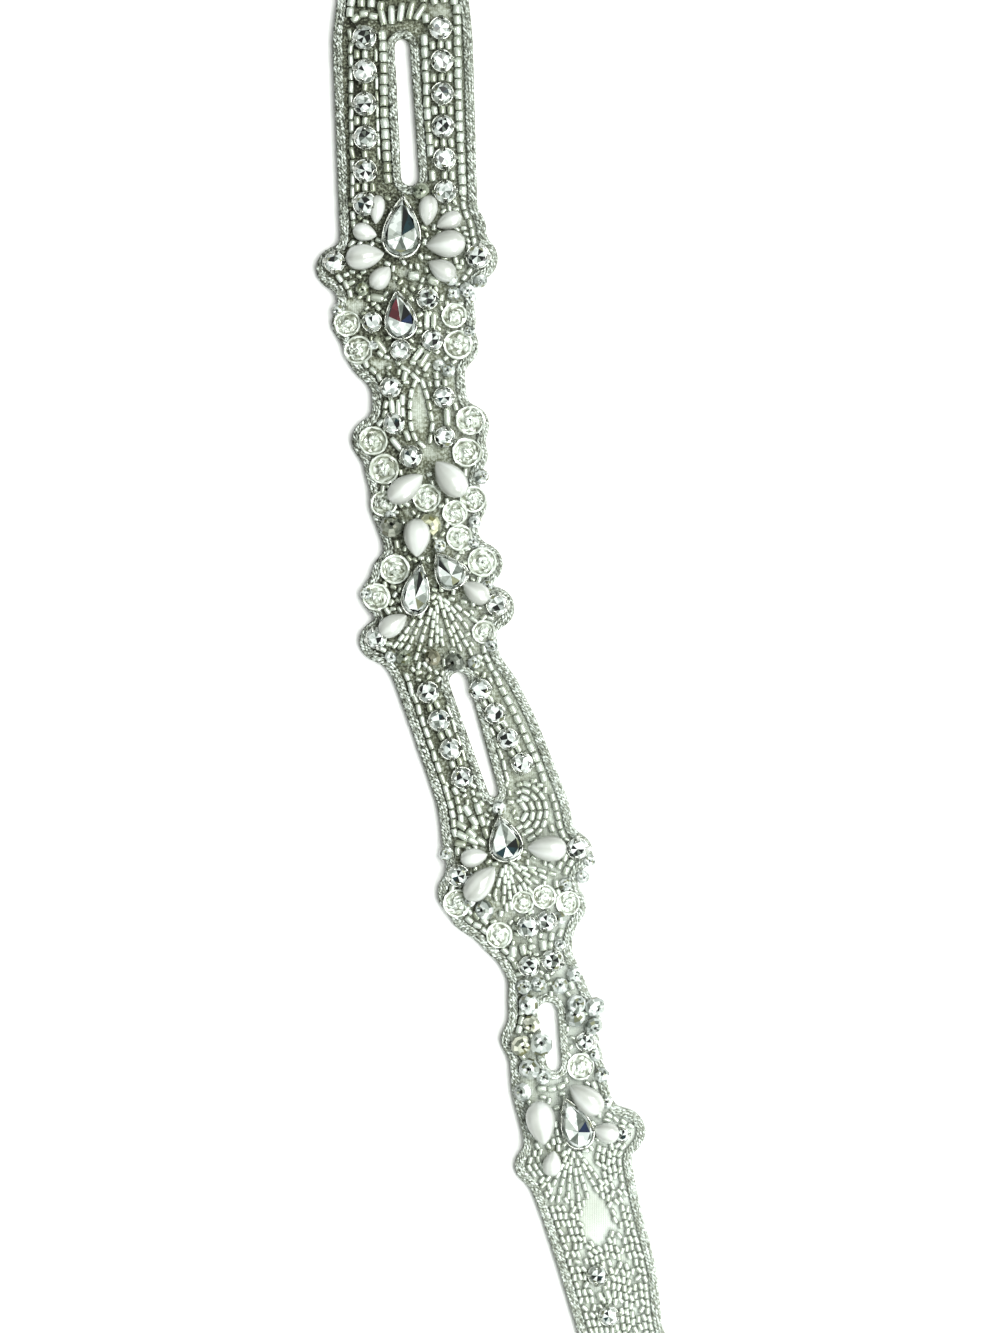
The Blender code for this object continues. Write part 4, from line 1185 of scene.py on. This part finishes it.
RAIL_STRANDS = strands("""
    2.6 1.1 350 28 351 60 351 100 352 150 353 180 352 212,
    2.15 1.8 382 30 384 60 384 100 385 130 387 160 388 184, 2.6 0.8 376 48 377 100 379 160,
    2.5 1.6 424 34 426 72 427 110 430 145 433 182, 2.1 1.7 457 4 458 61 459 110 461 150 463 196,
    2.3 1.2 413 692 419 710 427 733 434 755 442 777 448 796,
    2.1 1.6 440 682 446 700 452 716 460 736 467 756 474 776 480 792,
    2.8 0.8 447 704 455 728 463 752 470 776, 2.2 1 482 704 490 726 498 747 505 766 508 782,
    2 1.6 497 676 505 694 514 711 523 729 531 747 539 764 545 782,
    2 1.5 507 680 516 700 526 722 535 745 544 765 550 786
""")


def spacers(row, count):
    """Between two stones of a row lie short tubes side by side, along the row."""
    first = np.array([row.px_first, row.py_first])
    whole = np.array([row.px_last, row.py_last]) - first
    way = whole / np.linalg.norm(whole)
    side = np.array([-way[1], way[0]])
    for i in range(int(row.count) - 1):
        middle = first + (i + 0.5) / (row.count - 1) * whole
        for j in range(count):
            at = middle + side * (j - (count - 1) / 2) * SPACER_PITCH
            add_strand(Strand(2.0, 1.4, [at - way * SPACER_HALF, at + way * SPACER_HALF]), SPACER_TONE)


for strand in RAIL_STRANDS:
    add_strand(strand)
for row in STONE_ROWS:
    spacers(row, 3 if row.size > 4.6 else 2)
print("beads on the rails:", len(bead_places))

# %% [markdown]
# ## The beads between the clusters
# The strands below follow the photograph from the top down: the fan over the upper slot, the loop of
# beads round the bare cloth at the neck, the fans under the pear stones and the dense rows of the
# lower stretch.

# %% Strands of the clusters
CLUSTER_STRANDS = strands("""
    3.6 1.5 384 26 380 6, 3.6 1.5 392 25 391 5, 3.6 1.5 400 22 402 2, 3.6 1.5 408 20 414 0,
    3.6 1.5 415 21 425 3, 2 1.6 352 22 362 12 378 18, 3.5 1.3 427 311 427 331, 3.5 1.3 434 311 434 331,
    4 1.5 374 338 387 353, 3.8 1.4 413 362 423 346, 3.8 1.4 419 367 430 351, 3 1.8 370 296 385 300,
    2.6 2.1 408 276 420 276, 2.4 2 428 279 440 283,
    2.1 1.1 417 378 411 392 410 410 411 428 416 440 426 448,
    2.3 1.3 406 370 403 386 402 406 403 424 409 441 418 450,
    2.1 1.1 421 378 427 394 431 412 433 430 429 444, 2.1 1.1 400 366 410 372 420 382,
    2.1 1.1 430 362 424 370 416 380, 2 1.3 436 371 438 388, 2 1.3 443 370 446 387,
    3.6 1.3 392 399 392 417, 3.6 1.2 398 399 399 417, 4 1.5 438 408 438 428, 4 1.6 447 407 448 427,
    3.6 1.4 391 437 402 452, 3.6 1.4 398 433 409 447, 4.6 1.6 423 455 444 447, 2.8 1.8 513 945 513 958,
    2.8 1.6 523 943 524 956, 2.8 1.8 543 939 544 951, 2.8 1.6 553 938 554 950,
    2 1.4 562 975 564 1000 565 1030 564 1060, 2 1.4 513 975 514 988, 2 1.4 537 1088 552 1090 566 1084
""")
for strand in CLUSTER_STRANDS:
    add_strand(strand)
fan(492, 850, 12, 50, 108, 186, 6, 2.15, 1.6)
arcs(517, 812, (9, 16, 23, 30), 80, -70, 2.0, 1.2)
fan(437, 590, 22, 78, -142, -96, 8, 1.9, 1.0)
fan(437, 590, 14, 74, -90, -38, 8, 1.9, 1.0)
fan(506, 860, 8, 50, -108, -18, 15, 1.9, 1.0)
fan(572, 1144, 8, 60, -130, -48, 13, 1.7, 1.0)
print("beads with the clusters:", len(bead_places))

# %% [markdown]
# ## Dense rows that follow the edge
# Where the band is filled right up to the cord, the strands run beside the edge. Such a row is the
# outline itself, moved inwards, so the beads follow every scallop. A row is kept only where it is
# wanted, between two heights in the picture.

# %% Rows beside the edge
MIDDLE_LINE = ([-165, -120, -50, 0, 60, 165], [32, 21, 5, -10, -18, -19])


def edge_rows(py_first, py_last, insets, pitch, width, left_only=False, jitter=0.0):
    """Beads on the outline moved in by each inset, between two heights of the photograph."""
    y_high, y_low = plan(0, py_first)[1], plan(0, py_last)[1]
    rng = np.random.default_rng(py_first + 1000)
    for inset in insets:
        way = softened(resampled(OUTLINE - inset * outward(OUTLINE), 0.4), 6)
        even = resampled(way, pitch)
        ahead = np.roll(even, -1, axis=0) - np.roll(even, 1, axis=0)
        kept = (even[:, 1] < y_high) & (even[:, 1] > y_low)
        if left_only:
            kept &= even[:, 0] <= np.interp(even[:, 1], *MIDDLE_LINE)
        for (x, y), (dx, dy), wobble in zip(even[kept], ahead[kept], rng.normal(0.0, 1.0, kept.sum())):
            angle = math.atan2(dy, dx) + jitter * wobble
            bead_places.append(BeadPlace(x + 0.3 * jitter * wobble, y, 1.0, angle, pitch - END_GAP, width))


edge_rows(-200, 20, (2.9, 4.9, 6.9, 8.9), 2.1, 1.7)
edge_rows(196, 700, (2.8,), 1.9, 1.2, jitter=0.15)
edge_rows(690, 800, (2.6,), 2.0, 1.2, left_only=True)
edge_rows(790, 960, (2.7, 4.3), 1.9, 1.3, jitter=0.1)
edge_rows(960, 1100, (2.8,), 1.9, 1.4, jitter=0.15)
edge_rows(1100, 1200, (2.6, 3.7, 4.8, 5.9, 7.0), 1.6, 1.05, jitter=0.35)
edge_rows(1190, 1336, (2.6, 3.65, 4.7, 5.75, 6.8, 7.85, 8.9, 9.9), 1.6, 1.05, jitter=0.35)
edge_rows(1336, 1500, (2.8, 4.6, 6.4, 8.2, 10.0), 2.1, 1.6)
print("beads with the edge rows:", len(bead_places))

# %% [markdown]
# ## Setting the beads
# The places are gone through in the order of sewing, and a bead is set only where it has room. Then
# small beads fill the cloth round the clusters, in no order, except in the windows that stay bare.
# One bead has few faces, because there are more than a thousand of them.

# %% Set the beads
BEAD_SIDES = 8
# Each ring is (along, radius, shine): shine is its painted light, and the ends lie in painted shade.
BEAD_RINGS = [
    (-0.82, 0.30, 0.0), (-1.0, 0.55, 0.38), (-0.9, 0.9, 0.8), (-0.5, 1.0, 1.0),
    (0.5, 1.0, 1.0), (0.9, 0.9, 0.8), (1.0, 0.55, 0.38), (0.82, 0.30, 0.0),
]
FILL_ZONES = [(196, 384), (470, 680), (780, 1210)]
FILL_STEP = 1.15
FILL_CLEAR = 1.18
SEWN_CLEAR = 0.93
FILL_LENGTH = 1.35
FILL_WIDTH = 1.05
FILL_SPREAD = 0.45
EDGE_MARGIN, SLOT_MARGIN = 2.1, 1.35
DISC_SHARE, EDGE_SHARE = 0.3, 0.25
BEAD_FOOT = 0.03
WINDOW_LIMIT = 0.3
PALE_LIFT, PALE_FLATNESS, TONE_SHARE = 0.74, 1.16, 0.98
NO_FILL = WINDOWS + PAINTED_SHADE_PLACES[:2]


def bead_unit():
    """A short tube with rounded ends and a hole, of length 2 and radius 1 along x."""
    return turned([r[0] for r in BEAD_RINGS], [r[1] for r in BEAD_RINGS], BEAD_SIDES, wrap=True)


def bead_shine(unit):
    """The painted light and shade of each point of a bead: its ring's share, times 0.3 at its flanks and 1
    on top.
    """
    rings = np.repeat([r[2] for r in BEAD_RINGS], BEAD_SIDES)
    height = unit.points[:, 2] / np.maximum(np.hypot(unit.points[:, 1], unit.points[:, 2]), 1e-6)
    return rings * (0.3 + 0.7 * np.clip(0.3 + 0.9 * height, 0.0, 1.0))


def taken():
    """Centre and radius of everything that a bead keeps clear of: stones, sequins and drops."""
    discs = [(*plan(s.px, s.py), s.size / 2 * 0.94) for s in all_stones() + SEQUINS + ROUND_BEADS]
    for drop in CRYSTALS + PEARLS:
        along, across = drop_profile(np.linspace(0.2, math.pi - 0.1, 9), PEARL_TAPER)
        radius = np.minimum(across * drop.width / 2, drop.length / 2 * (1.0 + along))
        for a, r in zip(along * drop.length / 2, radius):
            discs.append((*((drop.x, drop.y) + a * heading(drop.point)), r))
    return np.array(discs)


def clear_of(places, discs):
    """Which places lie on the cloth, off its edges, and out of every disc."""
    flat, width = places[:, :2], places[:, 5]
    away = np.linalg.norm(flat[:, None] - discs[None, :, :2], axis=2) - discs[None, :, 2]
    free = away.min(axis=1) > width * DISC_SHARE
    for line, margin in [(OUTLINE, EDGE_MARGIN), *[(line, SLOT_MARGIN) for line in SLOT_LINES]]:
        free &= distance_to_line(flat, line) > margin + width * EDGE_SHARE
    return free & on_cloth(flat)


def spaced(places, room):
    """Goes through the places in order and keeps each that has room from all that are kept."""
    kept = np.empty((len(places), 2))
    chosen = []
    for i, place in enumerate(places):
        so_far = kept[: len(chosen)]
        if len(chosen) == 0 or np.min(np.sum((so_far - place[:2]) ** 2, axis=1)) > room[i] ** 2:
            kept[len(chosen)] = place[:2]
            chosen.append(i)
    return np.array(chosen)


def filling():
    """Beads in no order: points of a hexagonal field, each moved and turned at random."""
    rng = np.random.default_rng(17)
    low, high = OUTLINE.min(axis=0), OUTLINE.max(axis=0)
    x, y = np.meshgrid(np.arange(low[0], high[0], FILL_STEP), np.arange(low[1], high[1], FILL_STEP * 0.87))
    x[1::2] += FILL_STEP / 2
    places = np.column_stack([x.ravel(), y.ravel()])
    places = places + rng.uniform(-FILL_SPREAD, FILL_SPREAD, places.shape)
    wanted = np.zeros(len(places), bool)
    for py_first, py_last in FILL_ZONES:
        wanted |= (places[:, 1] < plan(0, py_first)[1]) & (places[:, 1] > plan(0, py_last)[1])
    places = places[wanted]
    count = len(places)
    grain = rng.uniform(0.85, 1.15, count)
    tone, angle = rng.uniform(0.7, 1.0, count), rng.uniform(0.0, math.pi, count)
    return np.column_stack([places, tone, angle, FILL_LENGTH * grain, FILL_WIDTH * grain])


def chosen_beads():
    """The places of the beads that are set: the strands first, then the filling, each with room."""
    discs = taken()
    sewn = np.array(bead_places)
    sewn = sewn[clear_of(sewn, discs) & (in_windows(sewn[:, :2], WINDOWS) <= WINDOW_LIMIT)]
    fill = filling()
    fill = fill[clear_of(fill, discs) & (in_windows(fill[:, :2], NO_FILL) <= 0.0)]
    every = np.vstack([sewn, fill])
    return every[spaced(every, np.append(SEWN_CLEAR * sewn[:, 5], np.full(len(fill), FILL_CLEAR)))]


def set_beads():
    """Turns each bead along its strand, a little unevenly, and joins the beads into three meshes."""
    places = chosen_beads()
    x, y, tone, angle, length, width = places.T
    rng = np.random.default_rng(3)
    count = len(places)
    centre = np.column_stack([x, y, CLOTH_TOP + width / 2 + BEAD_FOOT + lift(y)])
    angle = angle + rng.normal(0.0, 0.07, count)
    ahead = directions(np.column_stack([np.cos(angle), np.sin(angle), rng.normal(0.0, 0.06, count)]))
    upright = np.array([[0.0, 0.0, 1.0]])
    up = directions(upright - np.sum(upright * ahead, axis=1)[:, None] * ahead)
    scale = np.column_stack([length / 2, width / 2, width / 2])
    tone = (tone * np.clip(rng.normal(0.90, 0.15, count), 0.4, 1.1))[:, None]
    # Painted light: beads are paler to the right and downwards, and their shading flatter there.
    pale = PALE_LIFT * painted_light_at(places)[:, None]
    unit = bead_unit()
    shine = bead_shine(unit)
    for number, part in enumerate(np.array_split(np.arange(count), 3), 1):
        made = copies(unit, centre[part], ahead[part], up[part], scale[part])
        glassy = rng.normal(0.0, 0.09, (len(part), len(shine)))
        values = pale[part] + (TONE_SHARE - PALE_FLATNESS * pale[part]) * tone[part] * shine[None] + glassy
        lit = {"shine": np.clip(values, 0.0, 1.0).ravel()}
        mesh_piece(f"glass_beads_{number}", made, BEAD, point_values=lit)
    print("beads set:", count)


set_beads()

# %% [markdown]
# ## The satin ties
# Each tie is one length of ribbon: its sewn end lies under the band, and the rest is folded to and
# fro in eleven runs. The ribbon is a grid of points: across its width, and along a path of straight
# runs joined by half circles, each run lying on the one below.

# %% Ribbon ties
RIBBON_WIDTH = 19.0
RIBBON_RUNS = 11
RUN_LENGTH = 62.0
LAYER_PITCH = 0.85
RIBBON_START = -1.0
RIBBON_WALL = 0.3
RUN_POINTS, FOLD_POINTS, RIBBON_COLUMNS = 24, 9, 9
SLANT = 11.0
BAND_TO_FOLDS = 5.5


def folded_path(near, far):
    """Points (along, height, sway) of the folded ribbon: runs that stop short of the fold by its
    radius, then half a circle of that radius up to the next run."""
    radius = LAYER_PITCH / 2
    points = []

    def ends_of(run):
        low = near + 0.9 * math.sin(2.1 * run) + radius
        high = far + 0.9 * math.sin(1.3 * run + 1.0) - 0.9 - radius
        return (low, high) if run % 2 == 0 else (high, low)

    for run in range(RIBBON_RUNS):
        height = 0.3 + run * LAYER_PITCH
        start, stop = ends_of(run)
        along = np.linspace(start if run else RIBBON_START, stop, RUN_POINTS)
        bow = 0.10 * np.sin(np.linspace(0.0, math.pi, RUN_POINTS)) * (1 if run else 0)
        sway = 0.5 * math.sin(1.7 * run)
        points += [(a, height + b, sway) for a, b in zip(along, bow)]
        if run < RIBBON_RUNS - 1:
            after = ends_of(run + 1)[0]
            for part in np.linspace(0.0, 1.0, FOLD_POINTS)[1:-1]:
                bulge = radius * math.sin(part * math.pi) * (1 if run % 2 == 0 else -1)
                level = height + radius * (1 - math.cos(part * math.pi))
                points.append((stop + (after - stop) * part + bulge, level, sway))
    return np.array(points)


def tie(end):
    """The grid of one ribbon: its path, swept across its width, with a slanted and curled last end."""
    near = end.radius + BAND_TO_FOLDS
    path = folded_path(near, near + RUN_LENGTH)
    across = np.linspace(-0.5, 0.5, RIBBON_COLUMNS)
    along = np.repeat(path[:, 0][:, None], RIBBON_COLUMNS, axis=1)
    last = np.arange(len(path)) >= len(path) - RUN_POINTS
    run = (path[last, 0] - path[last, 0][0]) / (path[-1, 0] - path[last, 0][0])
    along[last] -= run[:, None] * SLANT * (across[None] + 0.5)
    side = across[None] * RIBBON_WIDTH + path[:, 2][:, None]
    curl = 0.12 * (2 * across[None]) ** 4 * last[:, None]
    height = path[:, 1][:, None] + curl
    ahead = heading(end.heading)
    left = np.array([-ahead[1], ahead[0]])
    plan_points = np.array([end.x, end.y]) + along[:, :, None] * ahead + side[:, :, None] * left
    points = np.concatenate([plan_points, height[:, :, None]], axis=2).reshape(-1, 3)
    made = shape(points, grid_faces(len(path), RIBBON_COLUMNS))
    piece = mesh_piece(f"ribbon_{end.name}", made, SATIN)
    thicken(piece, RIBBON_WALL, 0.0)
    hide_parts(f"tie_{end.name}")


for end in ENDS:
    tie(end)
